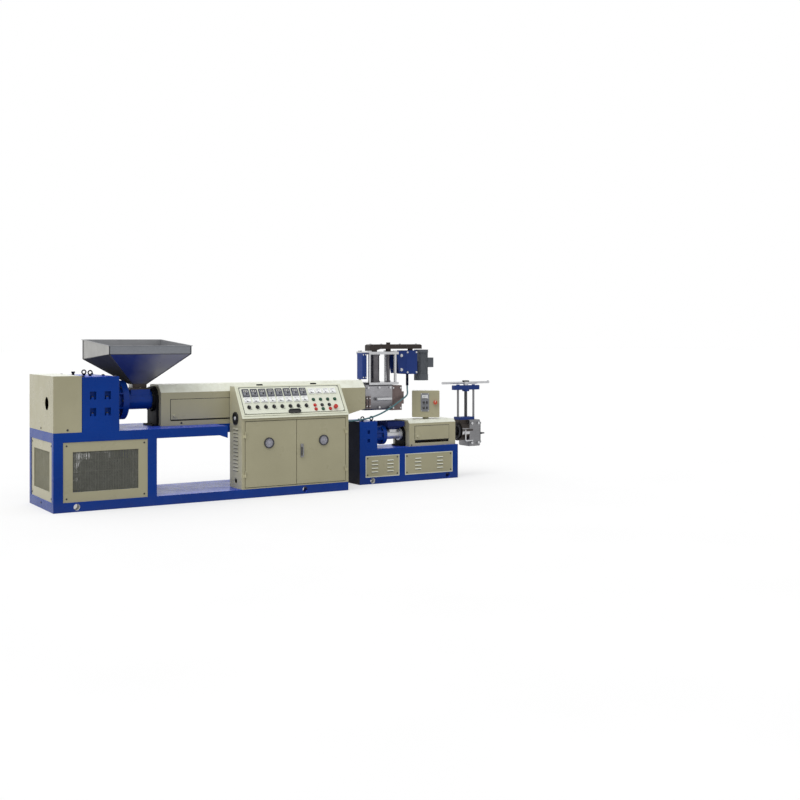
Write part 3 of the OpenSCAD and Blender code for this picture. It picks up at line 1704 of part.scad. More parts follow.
module hand_changer_frame() {
    rods = [turn_x - guide_rod_gap / 2, turn_x + guide_rod_gap / 2];
    cross_x0 = rods[0] - crossbar_over;
    cross_l = guide_rod_gap + 2 * crossbar_over;
    cross_top = crossbar_z + crossbar_h;
    color(machine_blue) difference() {
        union() {
            box([rods[0] - seat_plate_over, axis_y - seat_plate_w / 2, hand_top],
                [rods[1] - seat_plate_short, axis_y + seat_plate_w / 2, seat_top]);
            for (x = rods) {
                along_z(hand_top, cross_top + rod_nut_h, x, axis_y, guide_rod_d);
                along_z(cross_top - over, cross_top + rod_nut_h, x, axis_y, rod_nut_d);
            }
            translate([cross_x0, axis_y - crossbar_w / 2, crossbar_z])
                linear_extrude(crossbar_h) rounded_rect(cross_l, crossbar_w, crossbar_edge_r);
            along_z(crossbar_z - hub_h, cross_top, turn_x, axis_y, hub_d);
        }
        along_z(crossbar_z - hub_h - over, cross_top + over, turn_x, axis_y, turn_screw_d + 2 * fit_gap);
    }
}

module turn_bar() {
    cross_top = crossbar_z + crossbar_h;
    bar_z = cross_top + fit_gap + collar_h + turn_bar_rise;
    color(steel) {
        along_z(seat_top + fit_gap, bar_z, turn_x, axis_y, turn_screw_d);
        along_z(cross_top + fit_gap, cross_top + fit_gap + collar_h, turn_x, axis_y, collar_d);
        along_z(bar_z - turn_cap_h / 2, bar_z + turn_cap_h / 2, turn_x, axis_y, turn_cap_d);
        along_x(turn_x - turn_bar_l / 2, turn_x + turn_bar_l / 2, axis_y, bar_z, turn_bar_d);
        along_z(bar_z, bar_z + grip_h, turn_x + turn_bar_l / 2 - grip_d / 2, axis_y, grip_d);
    }
}

module strand_die() {
    x0 = hand_x + hand_block_l;
    x1 = x0 + strand_die_l;
    z = hand_z + hand_block_h * nozzle_z_share;
    color(dark_steel) {
        box([x0, axis_y - strand_die_w / 2, hand_z + hand_block_h / 2 - strand_die_h / 2],
            [x1, axis_y + strand_die_w / 2, hand_z + hand_block_h / 2 + strand_die_h / 2]);
        for (i = [0 : nozzle_columns - 1]) {
            y = axis_y + (i - (nozzle_columns - 1) / 2) * nozzle_pitch;
            along_x(x1 - over, x1 + nozzle_l, y, z, nozzle_d);
        }
    }
}

// Sets the origin on the floor under the middle of the part
module place() {
    translate([-origin_x, -origin_y, 0]) children();
}

place() main_sole_frame();
place() main_base_posts();
place() main_top_frame();
place() main_barrel_bed();
place() side_motor_guards();
place() end_motor_guards();
place() guard_wire_grilles();
place() drive_motor();
place() belt_pulleys();
place() drive_belts();
place() belt_guard();
place() main_gearbox();
place() lifting_eyes();
place() bearing_housings();
place() main_feed_section();
place() main_screw();
place() feed_hopper();
place() barrel_supports();
place() barrels();
place() main_barrel_cover();
place() cover_doors();
place() cabinet_sides();
place() cabinet_back();
place() cabinet_front_frame();
place() console_hood();
place() console_plate();
place() temperature_controllers();
place() panel_meters();
place() panel_switches();
place() panel_buttons();
place() console_pull();
place() cabinet_side_fan();
place() cabinet_hinges();
place() left_door();
place() left_door_vent();
place() right_door();
place() right_door_vent();
place() door_latch();
place() changer_block();
place() discharge_die();
place() changer_frame();
place() changer_jacks();
place() chain_guard();
place() changer_reducer();
place() changer_motor();
place() changer_drive_box();
place() drive_cable();
place() second_base_frame();
place() second_base_panels();
place() second_gearbox();
place() second_feed_section();
place() second_feed_chute();
place() second_barrel_cover();
place() control_box();
place() control_box_panel();
place() hand_changer_block();
place() hand_changer_frame();
place() turn_bar();
place() strand_die();
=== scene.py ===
"""Looks of the two-stage plastic extruder: camera, cable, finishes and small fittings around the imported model."""
import math

import bmesh
import bpy
from mathutils import Matrix, Vector


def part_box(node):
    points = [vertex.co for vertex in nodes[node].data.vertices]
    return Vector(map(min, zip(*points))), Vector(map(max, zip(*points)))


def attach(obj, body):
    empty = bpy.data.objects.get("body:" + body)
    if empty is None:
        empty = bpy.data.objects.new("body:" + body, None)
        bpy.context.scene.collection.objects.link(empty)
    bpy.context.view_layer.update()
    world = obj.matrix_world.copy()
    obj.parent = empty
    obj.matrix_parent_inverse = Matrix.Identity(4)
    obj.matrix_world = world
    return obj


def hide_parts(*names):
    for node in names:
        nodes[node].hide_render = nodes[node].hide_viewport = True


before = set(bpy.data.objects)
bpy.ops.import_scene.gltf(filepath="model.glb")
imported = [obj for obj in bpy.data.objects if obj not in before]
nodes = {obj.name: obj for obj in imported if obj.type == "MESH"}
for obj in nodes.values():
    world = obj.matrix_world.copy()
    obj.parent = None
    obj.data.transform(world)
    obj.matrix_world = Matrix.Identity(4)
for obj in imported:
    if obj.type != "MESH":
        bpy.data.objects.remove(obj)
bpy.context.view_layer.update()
scene = bpy.context.scene
scene.view_settings.view_transform = "Standard"

# Places below are written in the source's own frame: millimetres from the main base's left front corner
ORIGIN = Vector((2671.75, 455.5, 0.0))
MM = 0.001


def at(x, y, z):
    """A place of the source's frame in the scene."""
    return (Vector((x, y, z)) - ORIGIN) * MM


def middle_of(name):
    """The middle of a node's box, in the source's frame."""
    lo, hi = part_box(name)
    return (lo + hi) / 2 / MM + ORIGIN


# Camera: left of the front at eye height, looking level
CAMERA_PLACE, CAMERA_WAY = (-2907, -10680, 1621), Vector((0.530, 0.848, 0.0))
camera_data = bpy.data.cameras.new("camera")
camera_data.lens = 51.75
camera_data.sensor_width = 36.0
camera_data.shift_y = -0.0775
camera_data.clip_end = 300.0
camera = bpy.data.objects.new("camera", camera_data)
scene.collection.objects.link(camera)
camera.location = at(*CAMERA_PLACE)
camera.rotation_euler = CAMERA_WAY.to_track_quat("-Z", "Y").to_euler()
scene.camera = camera


# Finishes
def srgb(r, g, b):
    """A colour from its 0 to 255 values, as linear RGBA."""
    out = []
    for value in (r, g, b):
        c = value / 255
        out.append(c / 12.92 if c <= 0.04045 else ((c + 0.055) / 1.055) ** 2.4)
    return (*out, 1.0)


WHITE = srgb(255, 255, 255)
DUST = srgb(120, 112, 98)
LOW_DARK = srgb(78, 76, 80)
DUST_HEIGHT = 0.16


def feed(tree, socket, value):
    """Links a socket to another one, or sets its plain value."""
    if isinstance(value, bpy.types.NodeSocket):
        tree.links.new(value, socket)
    else:
        socket.default_value = value


def add_node(tree, kind, inputs=None, **props):
    """A new node with its properties set and its inputs fed."""
    made = tree.nodes.new(kind)
    for key, value in props.items():
        setattr(made, key, value)
    for key, value in (inputs or {}).items():
        feed(tree, made.inputs[key], value)
    return made


class Look:
    """A node material and the few steps that every finish here is made of."""

    # Sockets of the colour mix node, which has a set of them for each type of data
    MIX_FACTOR, MIX_A, MIX_B, MIX_RESULT = 0, 6, 7, 2

    def __init__(self, name):
        self.material = bpy.data.materials.new(name)
        self.material.use_nodes = True
        self.tree = self.material.node_tree
        self.shader = self.tree.nodes["Principled BSDF"]
        self.place = self.node("ShaderNodeTexCoord").outputs["Object"]
        self.normal = None

    def node(self, kind, inputs=None, **props):
        return add_node(self.tree, kind, inputs, **props)

    def set(self, **values):
        """Inputs of the shader, named with _ for each space."""
        for key, value in values.items():
            feed(self.tree, self.shader.inputs[key.replace("_", " ")], value)

    def stretched(self, scale):
        """Object coordinates stretched along the axes, for brushed or drawn surfaces."""
        return self.node("ShaderNodeMapping", {"Vector": self.place, "Scale": scale}).outputs["Vector"]

    def noise(self, scale, detail=3.0, rough=0.5, vector=None):
        return self.node("ShaderNodeTexNoise", {"Vector": vector or self.place, "Scale": scale, "Detail": detail,
                                                "Roughness": rough}).outputs["Fac"]

    def steps(self, value, lo, hi, to_lo=0.0, to_hi=1.0):
        """value mapped from lo..hi to to_lo..to_hi and held there."""
        return self.node("ShaderNodeMapRange", {"Value": value, "From Min": lo, "From Max": hi, "To Min": to_lo,
                                                "To Max": to_hi}).outputs["Result"]

    def mix(self, factor, a, b):
        """Colour a where factor is 0, b where it is 1."""
        inputs = {self.MIX_FACTOR: factor, self.MIX_A: a, self.MIX_B: b}
        return self.node("ShaderNodeMix", inputs, data_type="RGBA").outputs[self.MIX_RESULT]

    def math(self, kind, a, b):
        return self.node("ShaderNodeMath", {0: a, 1: b}, operation=kind).outputs[0]

    def along(self, axis):
        """Place along an axis in metres; Z is the height above the floor."""
        return self.node("ShaderNodeSeparateXYZ", {"Vector": self.place}).outputs[axis]

    def facing(self):
        """The way a face looks, as X, Y and Z."""
        normal = self.node("ShaderNodeNewGeometry").outputs["Normal"]
        return self.node("ShaderNodeSeparateXYZ", {"Vector": normal}).outputs

    def rounded(self, radius):
        """Edges that catch the light as if they had this radius, and a mask of where they are."""
        bevel = self.node("ShaderNodeBevel", {"Radius": radius}, samples=4).outputs["Normal"]
        flat = self.node("ShaderNodeNewGeometry").outputs["Normal"]
        turn = self.node("ShaderNodeVectorMath", {0: bevel, 1: flat}, operation="DOT_PRODUCT").outputs["Value"]
        self.normal = bevel
        return self.steps(turn, 0.995, 0.80)

    def bump(self, value, strength, distance):
        inputs = {"Height": value, "Strength": strength, "Distance": distance}
        if self.normal is not None:
            inputs["Normal"] = self.normal
        self.normal = self.node("ShaderNodeBump", inputs).outputs["Normal"]

    def done(self):
        if self.normal is not None:
            self.set(Normal=self.normal)
        return self.material


def paint(name, colour, shade, worn, rough=0.34, edge=0.0022, dust=0.0, gloss=0.5, top_reflection=None):
    """Sprayed enamel: mottled by use, orange peel, edges rubbed pale, dust low down, and a painted reflection of the
    bright roof on faces that look up.
    """
    look = Look(name)
    wear = look.rounded(edge)
    cloud = look.steps(look.noise(1.7, 4.0, 0.55), 0.3, 0.75)
    base = look.mix(cloud, colour, shade)
    speck = look.steps(look.noise(38.0, 4.0, 0.6), 0.58, 0.72, 0.0, 0.22)
    base = look.mix(speck, base, shade)
    rubbed = look.math("MULTIPLY", wear, look.steps(look.noise(22.0, 5.0, 0.7), 0.42, 0.7, 0.05, 0.75))
    base = look.mix(rubbed, base, worn)
    if dust:
        low = look.steps(look.along("Z"), DUST_HEIGHT, 0.0, 0.0, dust)
        base = look.mix(look.math("MULTIPLY", low, look.noise(9.0, 4.0, 0.6)), base, DUST)
    # Painted reflection: faces that look up are mixed, in patches, towards a paler colour, as if they reflected the
    # bright roof.
    if top_reflection:
        reflection_mottle = look.steps(look.noise(12.0, 4.0, 0.6), 0.3, 0.7, 0.7, 1.0)
        base = look.mix(look.math("MULTIPLY", look.steps(look.facing()["Z"], 0.2, 0.45), reflection_mottle), base, top_reflection)
    look.bump(look.noise(520.0, 2.0, 0.5), 0.08, 0.0004)
    look.set(Base_Color=base, Roughness=look.steps(look.noise(5.0, 4.0, 0.6), 0.3, 0.7, rough - 0.06, rough + 0.1),
             Specular_IOR_Level=gloss)
    return look.done()


def metal(name, colour, shade, rough=0.32, grain=(1.0, 1.0, 90.0), edge=0.0015, metallic=1.0, stain=0.35,
          low_darkening=None, gloss=0.5):
    """Bare steel: drawn or ground along one axis, with dull stains and bright edges; a given pair of heights darkens
    it towards the bottom, fading out upward between them."""
    look = Look(name)
    wear = look.rounded(edge)
    lines = look.noise(26.0, 4.0, 0.6, look.stretched(grain))
    base = look.mix(look.steps(lines, 0.35, 0.7), colour, shade)
    blot = look.steps(look.noise(6.5, 5.0, 0.65), 0.45, 0.75, 0.0, stain)
    base = look.mix(blot, base, shade)
    if low_darkening:
        base = look.mix(look.steps(look.along("Z"), low_darkening[1], low_darkening[0], 0.0, 0.8), base, LOW_DARK)
    bright = tuple(min(1.0, c * 1.35) for c in colour[:3]) + (1.0,)
    base = look.mix(look.math("MULTIPLY", wear, look.noise(14.0)), base, bright)
    look.bump(lines, 0.12, 0.0003)
    look.set(Base_Color=base, Metallic=metallic, Specular_IOR_Level=gloss,
             Roughness=look.steps(look.noise(11.0, 4.0, 0.6), 0.3, 0.72, rough - 0.07, rough + 0.16))
    return look.done()


def plastic(name, colour, shade, rough=0.42, grain=900.0, edge=0.001):
    """Moulded plastic with a fine spark texture."""
    look = Look(name)
    wear = look.rounded(edge)
    base = look.mix(look.steps(look.noise(24.0, 4.0, 0.6), 0.35, 0.7), colour, shade)
    worn = tuple(min(1.0, c * 1.6 + 0.02) for c in colour[:3]) + (1.0,)
    base = look.mix(look.math("MULTIPLY", wear, look.noise(60.0)), base, worn)
    look.bump(look.noise(grain, 2.0, 0.5), 0.10, 0.0003)
    look.set(Base_Color=base, Roughness=look.steps(look.noise(30.0), 0.3, 0.7, rough - 0.05, rough + 0.08))
    return look.done()


def hopper_steel():
    """Brushed stainless sheet with painted light: the end that faces the open hall, to the left, is painted paler as
    if lit, and the funnel below carries a painted reflection of the machine, blue at its left and grey from there
    on."""
    look = Look("hopper_stainless_painted_light")
    wear = look.rounded(0.002)
    lines = look.noise(30.0, 5.0, 0.65, look.stretched((1.0, 1.0, 40.0)))
    grain = look.steps(lines, 0.3, 0.75)
    facing = look.facing()
    # Painted light: faces turned to the left take the paler sheet colours.
    end = look.steps(facing["X"], -0.2, -0.5)
    down = look.steps(facing["Z"], -0.1, -0.3)
    sheet = look.mix(end, look.mix(grain, srgb(136, 139, 144), srgb(104, 107, 112)),
                     look.mix(grain, srgb(172, 171, 167), srgb(146, 146, 143)))
    # Painted reflection of the machine on the funnel's faces that look down: blue at the left, grey further right.
    cloud = look.steps(look.noise(3.0, 4.0, 0.6), 0.35, 0.7, -0.12, 0.12)
    across = look.math("ADD", look.steps(look.along("X"), -1.86, -1.58), cloud)
    painted_reflection = look.mix(look.steps(across, 0.0, 1.0), srgb(64, 80, 138), srgb(174, 172, 168))
    base = look.mix(down, sheet, painted_reflection)
    base = look.mix(look.math("MULTIPLY", wear, look.steps(look.noise(18.0), 0.3, 0.7)), base, srgb(84, 86, 90))
    look.bump(lines, 0.10, 0.0003)
    look.set(Base_Color=base, Metallic=look.steps(down, 0.0, 1.0, 0.9, 0.55),
             Roughness=look.steps(look.noise(8.0, 4.0, 0.6), 0.3, 0.7, 0.26, 0.44))
    return look.done()


BLUE = srgb(12, 62, 152)
BLUE_SHADE = srgb(10, 52, 134)
BLUE_WORN = srgb(58, 98, 176)
CREAM = srgb(180, 175, 145)
CREAM_SHADE = srgb(168, 163, 134)
CREAM_WORN = srgb(206, 202, 178)

# The colours given for faces that look up are painted reflections of the bright roof.
blue = paint("blue_enamel", BLUE, BLUE_SHADE, BLUE_WORN, rough=0.24, dust=0.15, gloss=0.10,
             top_reflection=srgb(60, 90, 208))
cream = paint("cream_enamel", CREAM, CREAM_SHADE, CREAM_WORN, rough=0.30, dust=0.25, gloss=0.35,
              top_reflection=srgb(234, 237, 224))
blue_grey = paint("changer_enamel", srgb(46, 68, 136), srgb(36, 56, 114), BLUE_WORN, rough=0.34, gloss=0.10)
blue_cast = paint("blue_casting", BLUE, BLUE_SHADE, BLUE_WORN, rough=0.30, edge=0.003, gloss=0.2)
# Painted shade: the second stage's feed chute wears the blue painted darker, as if in shadow.
blue_painted_shade = paint("painted_shade_blue", srgb(40, 54, 112), srgb(30, 42, 92), BLUE_WORN, rough=0.5, gloss=0.05)
# Painted light: the cabinet's sides and hinges wear the cream painted lighter, as if more lit, with a painted
# reflection on faces that look up.
cream_painted_lighter = paint("cabinet_enamel_painted_lighter", srgb(201, 196, 163), srgb(189, 184, 152), CREAM_WORN, rough=0.36, dust=0.25,
                   gloss=0.35, top_reflection=srgb(202, 200, 180))
navy = paint("navy_enamel", srgb(20, 26, 46), srgb(14, 18, 34), srgb(46, 58, 98), rough=0.46, dust=0.3, gloss=0.04)
# Painted light: the console hood wears the cream painted much paler, as if lit from above; the trim of the louvred
# panels wears the same colour.
pale = paint("console_enamel_painted_lighter", srgb(225, 227, 207), srgb(215, 217, 197), srgb(240, 240, 226), rough=0.42)
plate = paint("instrument_plate", srgb(231, 234, 217), srgb(222, 225, 208), srgb(242, 244, 232), rough=0.36)
black = paint("black_enamel", srgb(22, 23, 26), srgb(15, 16, 18), srgb(64, 64, 66), rough=0.46, gloss=0.06)
iron = paint("dark_casting", srgb(78, 80, 84), srgb(58, 60, 64), srgb(122, 124, 126), rough=0.52, edge=0.003,
             gloss=0.3)
wire_grey = paint("wire_grey", srgb(118, 119, 111), srgb(100, 101, 93), srgb(152, 152, 144), rough=0.5, gloss=0.3)
wire_cream = paint("wire_cream", srgb(166, 162, 134), srgb(150, 146, 119), srgb(190, 186, 162), rough=0.5, gloss=0.3)
motor_grey = paint("motor_enamel", srgb(96, 100, 106), srgb(76, 80, 86), srgb(138, 140, 144), rough=0.46,
                   edge=0.003, gloss=0.3)
steel = metal("ground_steel", srgb(176, 177, 180), srgb(128, 128, 130))
bright = metal("polished_steel", srgb(205, 206, 208), srgb(164, 164, 166), rough=0.20, stain=0.2)
zinc = metal("zinc_steel", srgb(168, 166, 158), srgb(120, 118, 112), rough=0.36, grain=(1.0, 1.0, 1.0))
brown = metal("heat_tinted_steel", srgb(126, 112, 110), srgb(82, 70, 68), rough=0.44, metallic=0.85, stain=0.6)
umber = metal("chain_guard_steel", srgb(74, 67, 63), srgb(44, 40, 38), rough=0.46, metallic=0.8, stain=0.6)
dull = metal("dull_steel", srgb(142, 142, 144), srgb(104, 104, 106), rough=0.38)
# The changer block is darker towards the bottom.
block_steel = metal("changer_block_steel", srgb(172, 172, 176), srgb(122, 121, 123), stain=0.5, low_darkening=(0.84, 0.97))
jack_steel = metal("jack_steel", srgb(126, 124, 128), srgb(66, 64, 66), rough=0.34, stain=0.6)
silver = metal("feed_tube_steel", srgb(226, 227, 229), srgb(196, 196, 197), rough=0.30, metallic=0.55, stain=0.2)
dark_steel = metal("oiled_steel", srgb(84, 84, 87), srgb(46, 46, 49), rough=0.40, stain=0.5)
stainless = hopper_steel()
# Painted shade: a dark copy of the hopper's steel for its left funnel, which looks down and to the left.
painted_shade_steel = metal("hopper_painted_shade_steel", srgb(92, 91, 86), srgb(68, 67, 64), rough=0.36,
                     grain=(1.0, 1.0, 40.0), metallic=0.0, gloss=0.0)
# Painted light: the hopper's inside wears a paler copy of its steel.
painted_light_inside_steel = metal("hopper_inside_painted_light", srgb(162, 163, 166), srgb(136, 137, 140), rough=0.40, metallic=0.5)
black_plastic = plastic("black_moulding", srgb(26, 26, 28), srgb(36, 36, 38))
dark_plastic = plastic("slate_moulding", srgb(74, 76, 92), srgb(60, 62, 76))
grey_plastic = plastic("grey_moulding", srgb(138, 140, 146), srgb(122, 124, 130))
white_plastic = plastic("white_moulding", srgb(226, 228, 228), srgb(214, 216, 216), rough=0.30)
meter_white = plastic("meter_face", srgb(252, 253, 252), srgb(244, 246, 245), rough=0.24)
vent_ring = plastic("vent_ring", srgb(52, 53, 60), srgb(42, 43, 49), rough=0.5)
vent_grey = plastic("vent_mesh", srgb(176, 176, 186), srgb(156, 156, 166), rough=0.5)
red_plastic = plastic("red_moulding", srgb(196, 44, 34), srgb(170, 34, 28), rough=0.28)
orange_plastic = plastic("orange_moulding", srgb(206, 84, 52), srgb(184, 66, 40), rough=0.30)
green_plastic = plastic("green_moulding", srgb(28, 78, 54), srgb(22, 62, 44), rough=0.28)
rubber = plastic("belt_rubber", srgb(30, 30, 32), srgb(40, 40, 42), rough=0.62, grain=500.0)
sheath = plastic("cable_sheath", srgb(74, 118, 124), srgb(60, 100, 108), rough=0.38, grain=400.0)
label = plastic("blank_tag", srgb(238, 238, 232), srgb(226, 226, 220), rough=0.34)
gap_black = plastic("shadow_gap", srgb(16, 16, 17), srgb(22, 22, 23), rough=0.7)

NODE_LOOKS = {
    blue: ["main_sole_frame", "main_base_posts", "main_top_frame", "main_barrel_bed", "main_gearbox",
           "second_base_frame", "second_gearbox"],
    blue_grey: ["changer_reducer", "changer_drive_box", "hand_changer_frame"],
    blue_cast: ["bearing_housings", "main_feed_section"],
    blue_painted_shade: ["second_feed_chute"],
    navy: ["lifting_eyes"],
    cream: ["side_motor_guards", "end_motor_guards", "belt_guard", "main_barrel_cover", "cover_doors",
            "cabinet_back", "cabinet_front_frame", "left_door", "right_door", "second_base_panels",
            "second_barrel_cover", "control_box"],
    cream_painted_lighter: ["cabinet_sides", "cabinet_hinges"],
    pale: ["console_hood"],
    plate: ["console_plate"],
    stainless: ["feed_hopper"],
    steel: ["belt_pulleys"],
    block_steel: ["changer_block"],
    jack_steel: ["changer_jacks"],
    silver: ["second_feed_section"],
    bright: ["main_screw", "changer_frame", "turn_bar"],
    brown: ["discharge_die"],
    umber: ["chain_guard"],
    dull: ["hand_changer_block", "door_latch"],
    dark_steel: ["strand_die", "barrels"],
    iron: ["drive_motor"],
    wire_grey: ["guard_wire_grilles"],
    motor_grey: ["changer_motor"],
    black: ["barrel_supports"],
    black_plastic: ["panel_switches", "console_pull", "cabinet_side_fan"],
    dark_plastic: ["temperature_controllers"],
    vent_ring: ["left_door_vent", "right_door_vent"],
    meter_white: ["panel_meters"],
    red_plastic: ["panel_buttons"],
    grey_plastic: ["control_box_panel"],
    rubber: ["drive_belts"],
    sheath: ["drive_cable"],
}
for look, names in NODE_LOOKS.items():
    for name in names:
        nodes[name].data.materials.clear()
        nodes[name].data.materials.append(look)


def repaint(name, look, test):
    """Faces of a node whose middle passes the test, in the source's millimetres, take another finish."""
    mesh = nodes[name].data
    mesh.materials.append(look)
    index = len(mesh.materials) - 1
    for face in mesh.polygons:
        middle = face.center / MM + ORIGIN
        if test(middle, face.normal):
            face.material_index = index


# Cable from the screen changer's reducer to the cabinet, on the route of its solid
CABLE_D = 18.0
CABLE_ROUTE = [
    (4140, 440, 1079), (4140, 440, 1050), (4136, 431, 1022), (4125, 411, 998), (4106, 387, 979),
    (4080, 364, 965), (4050, 347, 951), (4014, 335, 933), (3976, 330, 912), (3934, 326, 888),
    (3888, 323, 860), (3836, 321, 832), (3782, 320, 806), (3724, 321, 780), (3664, 324, 758),
    (3602, 327, 740), (3540, 328, 727), (3478, 327, 718), (3416, 322, 714), (3354, 312, 712),
    (3296, 295, 712), (3242, 274, 713), (3196, 262, 714), (3152, 262, 714),
]


def smooth_route(route, parts):
    """Points along a smooth curve through the route's points."""
    points = [at(*p) for p in route]
    ends = [2 * points[0] - points[1], *points, 2 * points[-1] - points[-2]]
    out = []
    for i in range(len(points) - 1):
        a, b, c, d = ends[i:i + 4]
        for k in range(parts):
            t = k / parts
            out.append(0.5 * (2 * b + (c - a) * t + (2 * a - 5 * b + 4 * c - d) * t * t
                              + (3 * b - a - 3 * c + d) * t ** 3))
    return [*out, points[-1]]


def cord_curve(name, points, diameter, look):
    curve = bpy.data.curves.new(name, "CURVE")
    curve.dimensions = "3D"
    curve.bevel_depth = diameter * MM / 2
    curve.bevel_resolution = 5
    curve.use_fill_caps = True
    spline = curve.splines.new("POLY")
    spline.points.add(len(points) - 1)
    for point, place in zip(spline.points, points):
        point.co = (*place, 1.0)
    curve.materials.append(look)
    made = bpy.data.objects.new(name, curve)
    scene.collection.objects.link(made)
    return made


cable_points = smooth_route(CABLE_ROUTE, 3)
cable = cord_curve("cable_run", cable_points, CABLE_D, sheath)
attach(cable, "machine")
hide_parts("drive_cable")


# Mesh pieces
FRONT, BACK = Vector((0, -1, 0)), Vector((0, 1, 0))
LEFT, RIGHT, UP = Vector((-1, 0, 0)), Vector((1, 0, 0)), Vector((0, 0, 1))


class Build:
    """Collects small solids in millimetres and turns them into one piece."""

    def __init__(self, frame_matrix=None):
        self.bm = bmesh.new()
        self.frame = frame_matrix or Matrix.Identity(4)

    def put(self, verts, matrix):
        bmesh.ops.transform(self.bm, matrix=self.frame @ matrix, verts=verts)

    def box(self, lo, hi, bevel=0.0):
        lo, hi = Vector(lo), Vector(hi)
        made = bmesh.ops.create_cube(self.bm, size=1.0)["verts"]
        self.put(made, Matrix.Translation((lo + hi) / 2) @ Matrix.Diagonal((*(hi - lo), 1.0)))
        if bevel:
            edges = list({e for v in made for e in v.link_edges})
            bmesh.ops.bevel(self.bm, geom=edges, offset=bevel, segments=2, affect="EDGES", profile=0.5)

    def cone(self, place, normal, d0, d1, h, sides=20):
        """A round or many-sided solid standing on place along normal."""
        made = bmesh.ops.create_cone(self.bm, cap_ends=True, segments=sides, radius1=d0 / 2, radius2=d1 / 2,
                                     depth=h)["verts"]
        turn = UP.rotation_difference(Vector(normal)).to_matrix().to_4x4()
        self.put(made, Matrix.Translation(place) @ turn @ Matrix.Translation((0, 0, h / 2)))

    def hex_bolt(self, place, normal, d):
        """Washer, and six-sided head with its chamfer."""
        place, normal = Vector(place), Vector(normal)
        self.cone(place, normal, d * 2.2, d * 2.1, d * 0.16, 20)
        self.cone(place + normal * d * 0.14, normal, d * 1.85, d * 1.85, d * 0.5, 6)
        self.cone(place + normal * d * 0.62, normal, d * 1.7, d * 1.3, d * 0.14, 12)

    def cap_screw(self, place, normal, d):
        """Round head with a sunk socket."""
        place, normal = Vector(place), Vector(normal)
        self.cone(place, normal, d * 1.55, d * 1.5, d * 0.85, 20)
        self.cone(place + normal * d * 0.8, normal, d * 1.5, d * 1.36, d * 0.12, 20)
        self.cone(place + normal * d * 0.92, normal, d * 0.85, d * 0.85, d * 0.012, 6)

    def pan_screw(self, place, normal, d):
        """Low domed head."""
        place, normal = Vector(place), Vector(normal)
        self.cone(place, normal, d * 2.0, d * 1.9, d * 0.22, 18)
        self.cone(place + normal * d * 0.2, normal, d * 1.9, d * 1.2, d * 0.22, 18)

    def rod(self, a, b, d, sides=12):
        a, b = Vector(a), Vector(b)
        self.cone(a, (b - a).normalized(), d, d, (b - a).length, sides)

    def piece(self, name, look, slot, body="machine", smooth=False):
        """Ends the build: one object in the scene, riding a body and wearing the given look; slot is not used."""
        bmesh.ops.transform(self.bm, matrix=Matrix.Scale(MM, 4) @ Matrix.Translation(-ORIGIN), verts=self.bm.verts)
        bmesh.ops.recalc_face_normals(self.bm, faces=self.bm.faces)
        mesh = bpy.data.meshes.new(name)
        self.bm.to_mesh(mesh)
        self.bm.free()
        mesh.materials.append(look)
        if smooth:
            mesh.shade_smooth()
        made = bpy.data.objects.new(name, mesh)
        scene.collection.objects.link(made)
        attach(made, body)


def pair(front, back):
    """The front and back faces at these depths, each with the way it looks."""
    return (front, FRONT), (back, BACK)


def spread(xs, faces, zs):
    """Every place of a pattern over x, some faces and z, with the way it looks."""
    return [((x, y, z), normal) for x in xs for y, normal in faces for z in zs]


def border(build, lo, hi, width, bevel, point):
    """Four strips along the inside of a rectangle; point places its corners at either end of the thickness."""
    (u0, v0), (u1, v1) = lo, hi
    for v in (v0, v1 - width):
        build.box(point(u0, v, 0), point(u1, v + width, 1), bevel)
    for u in (u0, u1 - width):
        build.box(point(u, v0 + width, 0), point(u + width, v1 - width, 1), bevel)


# Sizes of the source that several fittings share
BASE_D, BASE_TOP, RAIL, BAY_L, POST_D = 850, 740, 90, 995, 58
CASE_X, CASE_L, CASE_H = 264, 365, 515
AXIS_Y, AXIS_Z, SECOND_Z = 505, 1005, 523
COVER_FACES, SECOND_COVER_FACES = pair(315, 695), pair(330, 680)
CABINET_X = 1888
SMALL_SCREW, SCREW = 9, 11

# Screws of the motor bay's guards
GUARD_IN, GUARD_INSET = 6, 34
GUARD_ROWS = (RAIL + GUARD_INSET, BASE_TOP - RAIL - GUARD_INSET)
GUARD_COLUMNS = (RAIL + GUARD_INSET, BAY_L - RAIL - GUARD_INSET)
panel_screws = Build()
for place, normal in spread(GUARD_COLUMNS, pair(GUARD_IN, BASE_D - GUARD_IN), GUARD_ROWS):
    panel_screws.pan_screw(place, normal, SMALL_SCREW)
for x, normal in ((GUARD_IN, LEFT), (BAY_L - GUARD_IN, RIGHT)):
    for y in (POST_D + GUARD_INSET, BASE_D - POST_D - GUARD_INSET):
        for z in GUARD_ROWS:
            panel_screws.pan_screw((x, y, z), normal, SMALL_SCREW)
panel_screws.piece("guard_panel_screws", dark_steel, "dark_iron")

# Fine mesh behind the motor bay's wire grilles, lapping the edges of the windows
MESH_PITCH, MESH_WIRE, MESH_IN = 6.5, 2.6, 14.5
UPRIGHT_HALF, CROSS_HALF = 0.6, 0.9
WINDOW_INSET, MESH_LAP = 92, 14
SIDE_EDGE = RAIL + WINDOW_INSET - MESH_LAP
END_EDGE = POST_D + WINDOW_INSET - MESH_LAP


def woven(build, lo, hi, point):
    """Crossing flat wires over a window: lo and hi are the window's corners along it, point places them."""
    across, rise = hi[0] - lo[0], hi[1] - lo[1]
    uprights, crosses = int(across / MESH_PITCH), int(rise / MESH_PITCH)
    for i in range(uprights + 1):
        u = lo[0] + i * across / uprights
        build.box(point(u - MESH_WIRE / 2, lo[1], -UPRIGHT_HALF), point(u + MESH_WIRE / 2, hi[1], UPRIGHT_HALF))
    for i in range(crosses + 1):
        v = lo[1] + i * rise / crosses
        build.box(point(lo[0], v - MESH_WIRE / 2, -CROSS_HALF), point(hi[0], v + MESH_WIRE / 2, CROSS_HALF))


